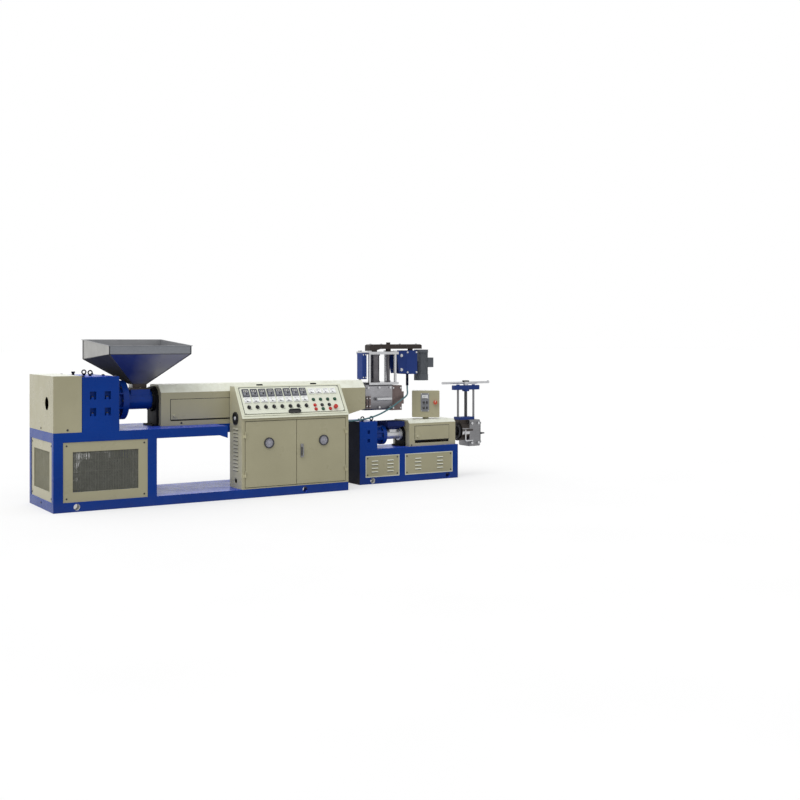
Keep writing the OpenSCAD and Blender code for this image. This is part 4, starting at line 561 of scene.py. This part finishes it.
side_mesh, end_mesh = Build(), Build()
for y in (MESH_IN, BASE_D - MESH_IN):
    woven(side_mesh, (SIDE_EDGE, SIDE_EDGE), (BAY_L - SIDE_EDGE, BASE_TOP - SIDE_EDGE),
          lambda u, v, w, y=y: (u, y + w, v))
for x in (MESH_IN, BAY_L - MESH_IN):
    woven(end_mesh, (END_EDGE, SIDE_EDGE), (BASE_D - END_EDGE, BASE_TOP - SIDE_EDGE),
          lambda u, v, w, x=x: (x + w, u, v))
side_mesh.piece("side_bay_mesh", wire_grey, "dark_iron")
end_mesh.piece("end_bay_mesh", wire_cream, "cream_paint")

# Screws of the base's left end, belt guard, barrel covers and louvred panels
SOLE_ROW, BELT_GUARD_ROW = 55, 764
COVER_SCREW, SECOND_COVER_SCREW = (1367, 766), (4130, 404)
PANEL_BAYS = ((3508.0, 3948.2), (4023.2, 4674.0))
PANEL_Z = (75, 313)
PANEL_FACES = pair(302, 708)
PANEL_INSET = 27
cover_screws = Build()
for z in (SOLE_ROW, BELT_GUARD_ROW):
    cover_screws.pan_screw((0, BASE_D / 2, z), LEFT, SCREW)
for y, normal in pair(0, BASE_D):
    cover_screws.pan_screw((CASE_X / 2, y, BELT_GUARD_ROW), normal, SCREW)
for (x, z), faces, d in ((COVER_SCREW, COVER_FACES, SCREW), (SECOND_COVER_SCREW, SECOND_COVER_FACES, SMALL_SCREW)):
    for y, normal in faces:
        cover_screws.pan_screw((x, y, z), normal, d)
for x0, x1 in PANEL_BAYS:
    for place, normal in spread((x0 + PANEL_INSET, x1 - PANEL_INSET), PANEL_FACES,
                                (PANEL_Z[0] + PANEL_INSET, PANEL_Z[1] - PANEL_INSET)):
        cover_screws.pan_screw(place, normal, SMALL_SCREW)
cover_screws.piece("cover_screws", dark_steel, "dark_iron")

# Pale edge trim of the louvred panels
TRIM_W, TRIM_OUT, TRIM_BEVEL = 9, 2.5, 0.6
trim = Build()
for x0, x1 in PANEL_BAYS:
    for y, normal in PANEL_FACES:
        depth = sorted((y, y + normal.y * TRIM_OUT))
        border(trim, (x0, PANEL_Z[0]), (x1, PANEL_Z[1]), TRIM_W, TRIM_BEVEL, lambda u, v, k, d=depth: (u, d[k], v))
trim.piece("panel_trim", pale, "cream_paint")

# Painted shade under the louvres of the panels and of the cabinet's left side: thin dark strips where the openings
# are dark inside
LOUVRE_L, LOUVRE_ROWS, LOUVRE_PITCH, LOUVRE_H = 82, 4, 40, 9
LOUVRE_SHARES = (0.27, 0.73)
SLIT_T, SLIT_H, SLIT_INSET = 0.8, 7, 3
SIDE_ROWS, SIDE_LOW, SIDE_PITCH, SIDE_SLIT_H = 12, 270, 38, 8
SIDE_LOUVRE_Y = (93, 207)
louvre_shade = Build()
low = (sum(PANEL_Z) - (LOUVRE_ROWS - 1) * LOUVRE_PITCH - LOUVRE_H) / 2
half = LOUVRE_L / 2 - SLIT_INSET
for x0, x1 in PANEL_BAYS:
    for y, normal in PANEL_FACES:
        y0, y1 = sorted((y, y + normal.y * SLIT_T))
        for share in LOUVRE_SHARES:
            x = x0 + (x1 - x0) * share
            for i in range(LOUVRE_ROWS):
                z = low + i * LOUVRE_PITCH
                louvre_shade.box((x - half, y0, z - SLIT_H), (x + half, y1, z))
for i in range(SIDE_ROWS):
    z = SIDE_LOW + SIDE_PITCH * i
    louvre_shade.box((CABINET_X - SLIT_T, SIDE_LOUVRE_Y[0], z - SIDE_SLIT_H), (CABINET_X, SIDE_LOUVRE_Y[1], z))
louvre_shade.piece("louvre_painted_shade", gap_black, "black_plastic")

# Seals round the lift-off doors of the covers
SEAL_W, SEAL_OUT, SEAL_BEVEL = 5, 2.2, 0.7
COVER_OPENINGS = (((1254, 802), (2314, 1003), COVER_FACES), ((4175, 459), (4638, 616), SECOND_COVER_FACES))
seals = Build()
for (x0, z0), (x1, z1), faces in COVER_OPENINGS:
    for y, normal in faces:
        depth = sorted((y, y + normal.y * SEAL_OUT))
        border(seals, (x0 - SEAL_W, z0 - SEAL_W), (x1 + SEAL_W, z1 + SEAL_W), SEAL_W, SEAL_BEVEL,
               lambda u, v, k, d=depth: (u, d[k], v))
seals.piece("cover_door_seals", rubber, "belt_rubber")

# Bolts on the round flanges: x, height of the axis, radius of the ring, way, size and turn of the ring
FLANGE_BOLTS = 8
HALF_STEP = math.pi / FLANGE_BOLTS
flange_bolts = Build()
for x, z, radius, normal, d, turn in ((770, AXIS_Z, 178, LEFT, 13, 0.0), (855, AXIS_Z, 111, RIGHT, 10, HALF_STEP),
                                      (1097, AXIS_Z, 111, LEFT, 10, HALF_STEP), (3805, SECOND_Z, 97, LEFT, 9, 0.0)):
    for i in range(FLANGE_BOLTS):
        a = 2 * math.pi * i / FLANGE_BOLTS + turn
        flange_bolts.hex_bolt((x, AXIS_Y + radius * math.cos(a), z + radius * math.sin(a)), normal, d)
flange_bolts.piece("flange_bolts", dark_steel, "dark_iron")

# Bolts in the gear case's pockets, and on the lids of both gear cases
POCKET_COLUMNS, POCKET_ROWS, POCKET_DROP = (0.295, 0.68), (0.36, 0.66), 16
POCKET_IN, LID_INSET = 20, 60
POCKET_FACES = pair(POCKET_IN, BASE_D - POCKET_IN)
LID_X, LID_Y = (294, 600), (LID_INSET, BASE_D / 2, BASE_D - LID_INSET)
SECOND_LID_X, SECOND_LID_Z = (3455, 3641), 695
POCKET_BOLT, LID_BOLT, SECOND_LID_BOLT = 13, 16, 11
case_bolts = Build()
for place, _ in spread([CASE_X + CASE_L * column for column in POCKET_COLUMNS], POCKET_FACES,
                       [BASE_TOP + CASE_H * row - POCKET_DROP for row in POCKET_ROWS]):
    case_bolts.hex_bolt(place, UP, POCKET_BOLT)
for x in LID_X:
    for y in LID_Y:
        case_bolts.hex_bolt((x, y, BASE_TOP + CASE_H), UP, LID_BOLT)
for place, _ in spread(SECOND_LID_X, SECOND_COVER_FACES, (SECOND_LID_Z,)):
    case_bolts.hex_bolt(place, UP, SECOND_LID_BOLT)
case_bolts.piece("gear_case_bolts", dark_steel, "dark_iron")

# Hopper seams, corner posts and neck bolts; RIM and NECK are half sizes, and the band is narrower in front
HOPPER_X, NECK_Z, NECK_FLANGE_Z = 977.5, 1161.5, 1121.5
RIM_X = HOPPER_X - 13
RIM, NECK = (411, 426), (73, 59)
BAND_TOP = {-1: 1546.5, 1: 1606.5}
BAND_LOW = {-1: 1464.5, 1: 1407.5}
POST_SEAM, FUNNEL_SEAM, FOLD_SEAM, LIP = 11, 9, 6, 5
NECK_BOLTS_X, NECK_BOLTS_Y, NECK_BOLT = (-84, 0, 84), (-71, 71), 9
SIDES = (-1, 1)
seams = Build()
for sx in SIDES:
    for sy in SIDES:
        rim = (RIM_X + sx * RIM[0], AXIS_Y + sy * RIM[1])
        neck = (HOPPER_X + sx * NECK[0], AXIS_Y + sy * NECK[1], NECK_Z)
        seams.rod((*rim, BAND_TOP[sy] - LIP), (*rim, BAND_LOW[sy]), POST_SEAM)
        seams.rod((*rim, BAND_LOW[sy]), neck, FUNNEL_SEAM)
for sx in SIDES:
    x = RIM_X + sx * RIM[0]
    seams.rod((x, AXIS_Y - RIM[1], BAND_LOW[-1]), (x, AXIS_Y + RIM[1], BAND_LOW[1]), FOLD_SEAM)
for sy in SIDES:
    y = AXIS_Y + sy * RIM[1]
    seams.rod((RIM_X - RIM[0], y, BAND_LOW[sy]), (RIM_X + RIM[0], y, BAND_LOW[sy]), FOLD_SEAM)
seams.piece("hopper_seams", dark_steel, "stainless", smooth=True)
neck_bolts = Build()
for x in NECK_BOLTS_X:
    for y in NECK_BOLTS_Y:
        neck_bolts.hex_bolt((HOPPER_X + x, AXIS_Y + y, NECK_FLANGE_Z), UP, NECK_BOLT)
neck_bolts.piece("hopper_neck_bolts", zinc, "machined_steel")

# The hopper's inside painted paler as painted light, and its left funnel and the front of its neck painted dark as
# painted shade
NECK_TOP = NECK_Z + 6
# Painted light on the faces inside the hopper.
repaint("feed_hopper", painted_light_inside_steel,
        lambda m, n: m.z > NECK_TOP and (RIM_X - m.x) * n.x + (AXIS_Y - m.y) * n.y > 1)
# Painted shade on the left funnel's faces.
repaint("feed_hopper", painted_shade_steel, lambda m, n: n.x < -0.5 and n.z < -0.3)
# Painted shade: the front faces of the neck take the dark chain-guard steel, while its left faces stay pale.
repaint("feed_hopper", umber, lambda m, n: m.z < NECK_TOP and n.y < -0.5)

# Screen changer screws: head, places along x, faces, heights and size
BLOCK_Y = (360, 650)
BARS_END_X = 3605
CHANGER_SCREWS = (
    (Build.cap_screw, (3572,), pair(*BLOCK_Y), (1066,), 18),  # block, over the clamp bars
    (Build.cap_screw, (3715, 3858), pair(*BLOCK_Y), (846, 1066), 18),  # block
    (Build.pan_screw, (3555.75, 3592.5), pair(348, 662), (862, 949), 8),  # clamp bars
    (Build.cap_screw, (3912, 4008), pair(380, 630), (832, 1058), 14),  # discharge die
    (Build.pan_screw, (3545, 3577), pair(412, 538), (1180, 1434), 9),  # drive box
    (Build.hex_bolt, (4120, 4240), pair(400, 610), (1230, 1458), 11),  # reducer
    (Build.hex_bolt, (4043,), pair(408, 602), (1260.3, 1422.3), 17),  # reducer's brackets
    (Build.hex_bolt, (3690, 3830, 4080, 4300), ((AXIS_Y, UP),), (1549,), 12),  # top of the chain guard
)
changer_screws = Build()
for head, xs, faces, zs, d in CHANGER_SCREWS:
    for place, normal in spread(xs, faces, zs):
        head(changer_screws, place, normal, d)
changer_screws.piece("screen_changer_screws", bright, "machined_steel")

# Brown clamp bars, bright melt pipe, and the dark cable sleeve under the reducer
SKIN = 0.5
SLEEVE_TOP = 1208.5
repaint("changer_block", brown,
        lambda m, n: not BLOCK_Y[0] - SKIN < m.y < BLOCK_Y[1] + SKIN and m.x < BARS_END_X)
repaint("changer_block", bright, lambda m, n: m.y < BLOCK_Y[0] - SKIN and m.x > BARS_END_X)
repaint("changer_reducer", navy, lambda m, n: m.z < SLEEVE_TOP)

# The feed section meets the barrel in a blackened flange
FEED_FLANGE_X = 1096
repaint("main_feed_section", black, lambda m, n: m.x > FEED_FLANGE_X)

# Hand changer: screws, the tips of the die's nozzles, and the cap on the turn bar
HAND_SCREWS_X, HAND_FACES, HAND_SCREWS_Z = (5012, 5107), pair(395, 615), (384, 614)
DIE_SCREW_X, DIE_SCREWS_Y, DIE_SCREWS_Z = 5169, (440, 570), (388, 610)
HAND_SCREW, DIE_SCREW = 20, 13
NOZZLES, NOZZLE_X, NOZZLE_Z, NOZZLE_PITCH = 4, 5202, 486.5, 34
NOZZLE_D, NOZZLE_TIP_D, NOZZLE_L = 19, 15, 36
TURN_X, TURN_TOP = 5005, 1103.5
CAP_D, CAP_TOP_D, CAP_H, CAP_SIDES = 86, 80, 14, 32
hand_screws = Build()
for place, normal in spread(HAND_SCREWS_X, HAND_FACES, HAND_SCREWS_Z):
    hand_screws.cap_screw(place, normal, HAND_SCREW)
for z in DIE_SCREWS_Z:
    for y in DIE_SCREWS_Y:
        hand_screws.cap_screw((DIE_SCREW_X, y, z), RIGHT, DIE_SCREW)
hand_screws.piece("hand_changer_screws", bright, "machined_steel")
nozzle_tips = Build()
for i in range(NOZZLES):
    y = AXIS_Y + (i - (NOZZLES - 1) / 2) * NOZZLE_PITCH
    nozzle_tips.cone((NOZZLE_X, y, NOZZLE_Z), RIGHT, NOZZLE_D, NOZZLE_TIP_D, NOZZLE_L)
nozzle_tips.piece("strand_nozzle_tips", dark_steel, "dark_iron")
turn_cap = Build()
turn_cap.cone((TURN_X, AXIS_Y, TURN_TOP), UP, CAP_D, CAP_TOP_D, CAP_H, CAP_SIDES)
turn_cap.piece("turn_bar_cap", black_plastic, "black_plastic", body="turn_bar")

# Dull guide rods, dark clamp, bright drain pipe with a dark upper arm, and the oiled screw
RODS_X, RODS_Z, ROD_NEAR = (4893, 5117), (688, 1006), 14
CLAMP_END_X = 4983
PIPE_Y, PIPE_END_X, PIPE_Z, PIPE_NEAR = 396, 5030, 474, 75
PIPE_ARM_Z = (525, 548)
SCREW_TOP = 1004


def on_pipe(middle, normal):
    """True for faces of the drain pipe, which stands out in front of the block."""
    return middle.y < PIPE_Y and middle.x < PIPE_END_X and abs(normal.y) < 0.999


repaint("hand_changer_frame", dull,
        lambda m, n: RODS_Z[0] < m.z < RODS_Z[1] and min(abs(m.x - x) for x in RODS_X) < ROD_NEAR)
repaint("hand_changer_block", umber, lambda m, n: m.x < CLAMP_END_X and m.y > PIPE_Y)
repaint("hand_changer_block", bright, lambda m, n: on_pipe(m, n) and abs(m.z - PIPE_Z) < PIPE_NEAR)
repaint("hand_changer_block", umber, lambda m, n: on_pipe(m, n) and PIPE_ARM_Z[0] < m.z < PIPE_ARM_Z[1])
repaint("turn_bar", dark_steel, lambda m, n: m.z < SCREW_TOP)

# Console instruments, in the plane of the sloping plate: x along it, y up it, z out of it
CONSOLE_D, CONSOLE_H = 204, 322
CONSOLE = (Matrix.Translation((CABINET_X, -16, 805))
           @ Matrix.Rotation(math.atan2(CONSOLE_H, CONSOLE_D), 4, "X"))
PLATE_L, PLATE_H = 1160.0, math.hypot(CONSOLE_H, CONSOLE_D) - 64.0
PLATE_X, PLATE_Y, PLATE_TOP = 36, 46, 3
COLUMNS = [0.056 + 0.0805 * i for i in range(8)]
RIGHT_COLUMNS = (0.707, 0.78, 0.854, 0.927)
CONTROLLER_ROW, METER_ROW, RIGHT_METER_ROW, SWITCH_ROW = 0.77, 0.52, 0.79, 0.255
LAMP_ROW, BUTTON_ROWS = 0.47, (0.26, 0.11)


def on_plate(share_x, share_y):
    """A place of the instrument plate from shares of its length and height."""
    return PLATE_X + PLATE_L * share_x, PLATE_Y + PLATE_H * share_y


def round_from(x, y, radius, angle, z):
    """A place at a radius and angle from (x, y) in the plate's plane."""
    return x + radius * math.cos(angle), y + radius * math.sin(angle), z


# Controllers: a window with two dark displays, and a key field with a knob and three keys
controller_windows, controller_fields, controller_keys = Build(CONSOLE), Build(CONSOLE), Build(CONSOLE)
for share in COLUMNS:
    x, y = on_plate(share, CONTROLLER_ROW)
    controller_windows.box((x - 24, y + 12, 11.5), (x + 24, y + 34, 13.5), 0.8)
    controller_fields.box((x - 28, y - 36, 11.5), (x + 28, y + 4, 13.0), 0.6)
    controller_keys.cone((x + 8, y - 8, 12.5), UP, 20, 17, 5)
    for i in range(3):
        controller_keys.box((x - 22 + 12 * i, y - 31, 12.5), (x - 14 + 12 * i, y - 25, 14.5), 0.5)
    for x0 in (x - 21, x + 1):
        controller_keys.box((x0, y + 16, 13.0), (x0 + 17, y + 30, 14.0))
controller_windows.piece("controller_windows", label, "white_plastic")
controller_fields.piece("controller_key_fields", grey_plastic, "grey_plastic")
controller_keys.piece("controller_keys", black_plastic, "black_plastic")

# Meters: scale marks, needle, pivot and the bar under them
METERS = ([on_plate(share, METER_ROW) for share in COLUMNS]
          + [on_plate(share, RIGHT_METER_ROW) for share in RIGHT_COLUMNS])
METER_FACE = PLATE_TOP + 7
SCALE_R, SCALE_MARKS, LONG_MARK, SHORT_MARK, NEEDLE_R = 34, 11, 7, 4, 36
SCALE_FROM, SCALE_STEP, NEEDLE_FROM, NEEDLE_STEP, PIVOT_DROP = 130, 8, 128, 6, 18
dials = Build(CONSOLE)
for i, (x, y) in enumerate(METERS):
    pivot = y - PIVOT_DROP
    for k in range(SCALE_MARKS):
        a = math.radians(SCALE_FROM - SCALE_STEP * k)
        reach = SCALE_R + (LONG_MARK if k % 5 == 0 else SHORT_MARK)
        dials.rod(round_from(x, pivot, SCALE_R, a, METER_FACE + 0.4),
                  round_from(x, pivot, reach, a, METER_FACE + 0.4), 1.2, 6)
    a = math.radians(NEEDLE_FROM - NEEDLE_STEP * (i % 4))
    dials.rod((x, pivot, METER_FACE + 1.6), round_from(x, pivot, NEEDLE_R, a, METER_FACE + 1.6), 1.4, 6)
    dials.cone((x, pivot, METER_FACE - 0.5), UP, 15, 13, 3)
    dials.box((x - 29, y - 25, METER_FACE - 0.5), (x + 29, y - 19, METER_FACE + 0.8), 0.4)
dials.piece("meter_dials", black_plastic, "black_plastic")

# Switches: a mark on each knob, and three scale marks and a dash on the plate
SWITCH_ANGLES, SWITCH_SCALE_R = (60, 90, 120), (25, 31)
switch_scales, switch_marks = Build(CONSOLE), Build(CONSOLE)
for share in COLUMNS:
    x, y = on_plate(share, SWITCH_ROW)
    switch_marks.box((x - 1.5, y + 4, 24), (x + 1.5, y + 17, 25.4))
    for degrees in SWITCH_ANGLES:
        a = math.radians(degrees)
        switch_scales.rod(*(round_from(x, y, r, a, PLATE_TOP + 0.2) for r in SWITCH_SCALE_R), 1.8, 6)
    switch_scales.box((x + 14, y - 24, PLATE_TOP - 0.4), (x + 32, y - 20, PLATE_TOP + 0.6))
switch_marks.piece("switch_marks", label, "white_plastic")
switch_scales.piece("switch_scale_marks", black_plastic, "black_plastic")

# Blank tags over the lamps and buttons; the emergency stop has none
button_tags = Build(CONSOLE)
for share in RIGHT_COLUMNS:
    for row in (LAMP_ROW, *BUTTON_ROWS):
        x, y = on_plate(share, row)
        if not (share == RIGHT_COLUMNS[-1] and row < LAMP_ROW):
            button_tags.box((x - 15, y + 22, PLATE_TOP - 0.4), (x + 15, y + 28, PLATE_TOP + 1.0), 0.4)
button_tags.piece("blank_button_tags", label, "white_plastic")

# Screws and the dark line along the plate's edge
PLATE_SCREW = 6
SCREW_SHARES_X, SCREW_SHARES_Y = (0.012, 0.5, 0.988), (0.035, 0.965)
LINE_Z, LINE_BEVEL = (PLATE_TOP - 0.2, PLATE_TOP + 1.2), 0.4
plate_screws = Build(CONSOLE)
for share_x in SCREW_SHARES_X:
    for share_y in SCREW_SHARES_Y:
        plate_screws.pan_screw((*on_plate(share_x, share_y), PLATE_TOP), UP, PLATE_SCREW)
plate_screws.piece("instrument_plate_screws", zinc, "machined_steel")
plate_seal = Build(CONSOLE)
border(plate_seal, on_plate(0, 0), on_plate(1, 1), SEAL_W, LINE_BEVEL, lambda u, v, k: (u, v, LINE_Z[k]))
plate_seal.piece("instrument_plate_seal", rubber, "belt_rubber")

# Colours of the lamps and buttons, and the hood's black latch pads
BUTTON_NEAR, HOOD_TOP = 24, 1128.5


def near_buttons(places):
    """A test for faces of the buttons at these shares of the plate."""
    centres = [CONSOLE @ Vector((*on_plate(*place), PLATE_TOP)) for place in places]
    return lambda m, n: min((m - centre).length for centre in centres) < BUTTON_NEAR


repaint("panel_buttons", green_plastic,
        near_buttons([(share, LAMP_ROW) for share in RIGHT_COLUMNS] + [(RIGHT_COLUMNS[1], BUTTON_ROWS[1])]))
repaint("panel_buttons", black_plastic, near_buttons([(share, BUTTON_ROWS[0]) for share in RIGHT_COLUMNS[1:3]]))
repaint("console_hood", black, lambda m, n: m.z > HOOD_TOP)

# Door vents with a dark ring and a grey middle; the side fan has a white hub and dark blades
VENT_R = 43.5
FAN_BLADES = 6
for name in ("left_door_vent", "right_door_vent"):
    repaint(name, vent_grey, lambda m, n, c=middle_of(name): math.hypot(m.x - c.x, m.z - c.z) < VENT_R)
fan = middle_of("cabinet_side_fan")
blades = Build()
for i in range(FAN_BLADES):
    blades.frame = (Matrix.Translation((CABINET_X, fan.y, fan.z))
                    @ Matrix.Rotation(2 * math.pi * i / FAN_BLADES, 4, "X"))
    blades.box((-4.6, 14, -13), (-2.2, 52, 13), 0.8)
blades.piece("side_fan_blades", gap_black, "black_plastic")
hub = Build()
hub.cone((CABINET_X - 3, fan.y, fan.z), LEFT, 40, 34, 11, 24)
hub.piece("side_fan_hub", white_plastic, "white_plastic")

# Control box on the second stage, in its own turned frame: a meter, two knobs, two rockers and the large knob
BOX_L, BOX_D, BOX_H = 318, 150, 307
BOX = (Matrix.Translation((4435.02, AXIS_Y, 705)) @ Matrix.Rotation(math.radians(-32), 4, "Z")
       @ Matrix.Translation((-BOX_L / 2, -BOX_D / 2, 0)))
TO_BOX = BOX.inverted()
KNOB_X, KNOB_Z, KNOB_R = BOX_L * 0.845, BOX_H * 0.56, 25
PANEL_X, PANEL_PITCH = BOX_L * 0.47, 62
KNOB_ROWS, METER_Z = (KNOB_Z - PANEL_PITCH, KNOB_Z), KNOB_Z + PANEL_PITCH
PANEL_FACE, SCALE_Y, NEEDLE_Y = -11.6, -12.4, -13.4
BOX_MARKS, BOX_SCALE_FROM, BOX_SCALE_STEP, BOX_SCALE_R, BOX_PIVOT_DROP = 9, 140, 10, (30, 36), 26
PANEL_SCREW, PANEL_SCREW_X, PANEL_SCREW_Z = 5, 41, 98


def in_box(test):
    """A test of a face's middle in the control box's own frame."""
    return lambda m, n: test(TO_BOX @ m)


repaint("control_box_panel", orange_plastic, in_box(lambda p: math.hypot(p.x - KNOB_X, p.z - KNOB_Z) < KNOB_R))
repaint("control_box_panel", white_plastic,
        in_box(lambda p: p.y < -9 and abs(p.x - PANEL_X) < 38 and p.z > METER_Z - 22.5))
gauges = Build(BOX)
for k in range(BOX_MARKS):
    a = math.radians(BOX_SCALE_FROM - BOX_SCALE_STEP * k)
    mark = [(PANEL_X + r * math.cos(a), SCALE_Y, METER_Z - BOX_PIVOT_DROP + r * math.sin(a))
            for r in BOX_SCALE_R]
    gauges.rod(*mark, 1.3, 6)
gauges.rod((PANEL_X, NEEDLE_Y, METER_Z - 19), (PANEL_X - 14, NEEDLE_Y, METER_Z + 8), 1.6, 6)
gauges.box((PANEL_X - 33, -13.8, METER_Z - 21), (PANEL_X + 33, -11.8, METER_Z - 15), 0.4)
for z in KNOB_ROWS:
    gauges.cone((PANEL_X - 13, PANEL_FACE, z), FRONT, 30, 26, 14, 24)
    gauges.box((PANEL_X + 13, -18, z - 15), (PANEL_X + 31, PANEL_FACE, z + 15), 1.5)
gauges.piece("control_box_gauges", black_plastic, "black_plastic")
knob_marks = Build(BOX)
for z in KNOB_ROWS:
    knob_marks.box((PANEL_X - 14, -26.6, z), (PANEL_X - 12, -25.4, z + 11))
knob_marks.box((KNOB_X - 2.5, -35.0, KNOB_Z + 2), (KNOB_X + 2.5, -33.6, KNOB_Z + 20))
for sx in SIDES:
    for sz in SIDES:
        knob_marks.pan_screw((PANEL_X + sx * PANEL_SCREW_X, -6, KNOB_Z + sz * PANEL_SCREW_Z), FRONT, PANEL_SCREW)
knob_marks.piece("control_box_marks", label, "white_plastic")

# Painted light: the walls of the left lifting holes are painted pale, standing in for the bright light that shows
# through them
HOLE_R = 30.5
for name, x, z in (("main_sole_frame", 218, 45), ("second_base_frame", 3600, 37.5)):
    repaint(name, label, lambda m, n, x=x, z=z: abs(n.y) < 0.1 and math.hypot(m.x - x, m.z - z) < HOLE_R)

# The second stage's left end faces are painted dark navy
SECOND_LEFT_X = 3434.5
for name in ("second_base_frame", "second_gearbox"):
    repaint(name, navy, lambda m, n: m.x < SECOND_LEFT_X and n.x < -0.5)


# Floor
FLOOR_HALF, FLOOR_DROP, FLOOR_GLOW = 120.0, 0.0005, 0.50


def seen_ray(tree):
    """1 for what the camera sees straight, mirrored or through glass, 0 for light on its way."""
    path = add_node(tree, "ShaderNodeLightPath").outputs
    mirrored = add_node(tree, "ShaderNodeMath", {0: path["Is Glossy Ray"], 1: path["Is Transmission Ray"]},
                        operation="MAXIMUM")
    return add_node(tree, "ShaderNodeMath", {0: path["Is Camera Ray"], 1: mirrored.outputs[0]},
                    operation="MAXIMUM").outputs[0]


def floor_look():
    """Pale matt floor that shows nearly white to the camera and in reflections, with the object's shadow."""
    look = Look("pale_floor")
    look.set(Base_Color=look.mix(look.noise(0.8), srgb(172, 172, 172), srgb(178, 178, 178)), Roughness=0.9,
             Specular_IOR_Level=0.1)
    matt = look.shader.outputs[0]
    glow = look.node("ShaderNodeEmission", {"Color": WHITE, "Strength": FLOOR_GLOW})
    lit = look.node("ShaderNodeAddShader", {0: matt, 1: glow.outputs[0]})
    pick = look.node("ShaderNodeMixShader", {0: seen_ray(look.tree), 1: matt, 2: lit.outputs[0]})
    feed(look.tree, look.tree.nodes["Material Output"].inputs["Surface"], pick.outputs[0])
    return look.material


floor_mesh = bpy.data.meshes.new("floor")
floor_mesh.from_pydata([(sx * FLOOR_HALF, sy * FLOOR_HALF, 0) for sx, sy in ((-1, -1), (1, -1), (1, 1), (-1, 1))],
                       [], [(0, 1, 2, 3)])
floor_mesh.materials.append(floor_look())
floor = bpy.data.objects.new("floor", floor_mesh)
scene.collection.objects.link(floor)
floor.location.z = -FLOOR_DROP

# The hall lights the machine more from the left and from the roof, and is white where it is seen
HALL_LEFT, HALL_RIGHT, ROOF = 0.82, 0.12, 0.62
world = bpy.data.worlds.new("studio")
scene.world = world
world.use_nodes = True
tree = world.node_tree
way = add_node(tree, "ShaderNodeTexCoord").outputs["Generated"]
side = add_node(tree, "ShaderNodeSeparateXYZ", {0: way}).outputs
fade = add_node(tree, "ShaderNodeMapRange", {"Value": side["X"], "From Min": -1.0, "From Max": 1.0,
                                             "To Min": HALL_LEFT, "To Max": HALL_RIGHT})
roof = add_node(tree, "ShaderNodeMapRange", {"Value": side["Z"], "To Max": ROOF})
both = add_node(tree, "ShaderNodeMath", {0: fade.outputs["Result"], 1: roof.outputs["Result"]}, operation="ADD")
ambient = tree.nodes["Background"]
feed(tree, ambient.inputs["Color"], WHITE)
feed(tree, ambient.inputs["Strength"], both.outputs[0])
white = add_node(tree, "ShaderNodeBackground", {"Color": WHITE, "Strength": 1.0})
pick = add_node(tree, "ShaderNodeMixShader", {0: seen_ray(tree), 1: ambient.outputs[0], 2: white.outputs[0]})
feed(tree, tree.nodes["World Output"].inputs["Surface"], pick.outputs[0])

# A wide, soft sun from the front left
SUN_WAY, SUN_WIDTH = Vector((0.457, 0.206, -0.868)), math.radians(50)
sun_data = bpy.data.lights.new("key", "SUN")
sun_data.energy = 1.0
sun_data.angle = SUN_WIDTH
sun = bpy.data.objects.new("key", sun_data)
scene.collection.objects.link(sun)
sun.rotation_euler = SUN_WAY.to_track_quat("-Z", "Y").to_euler()
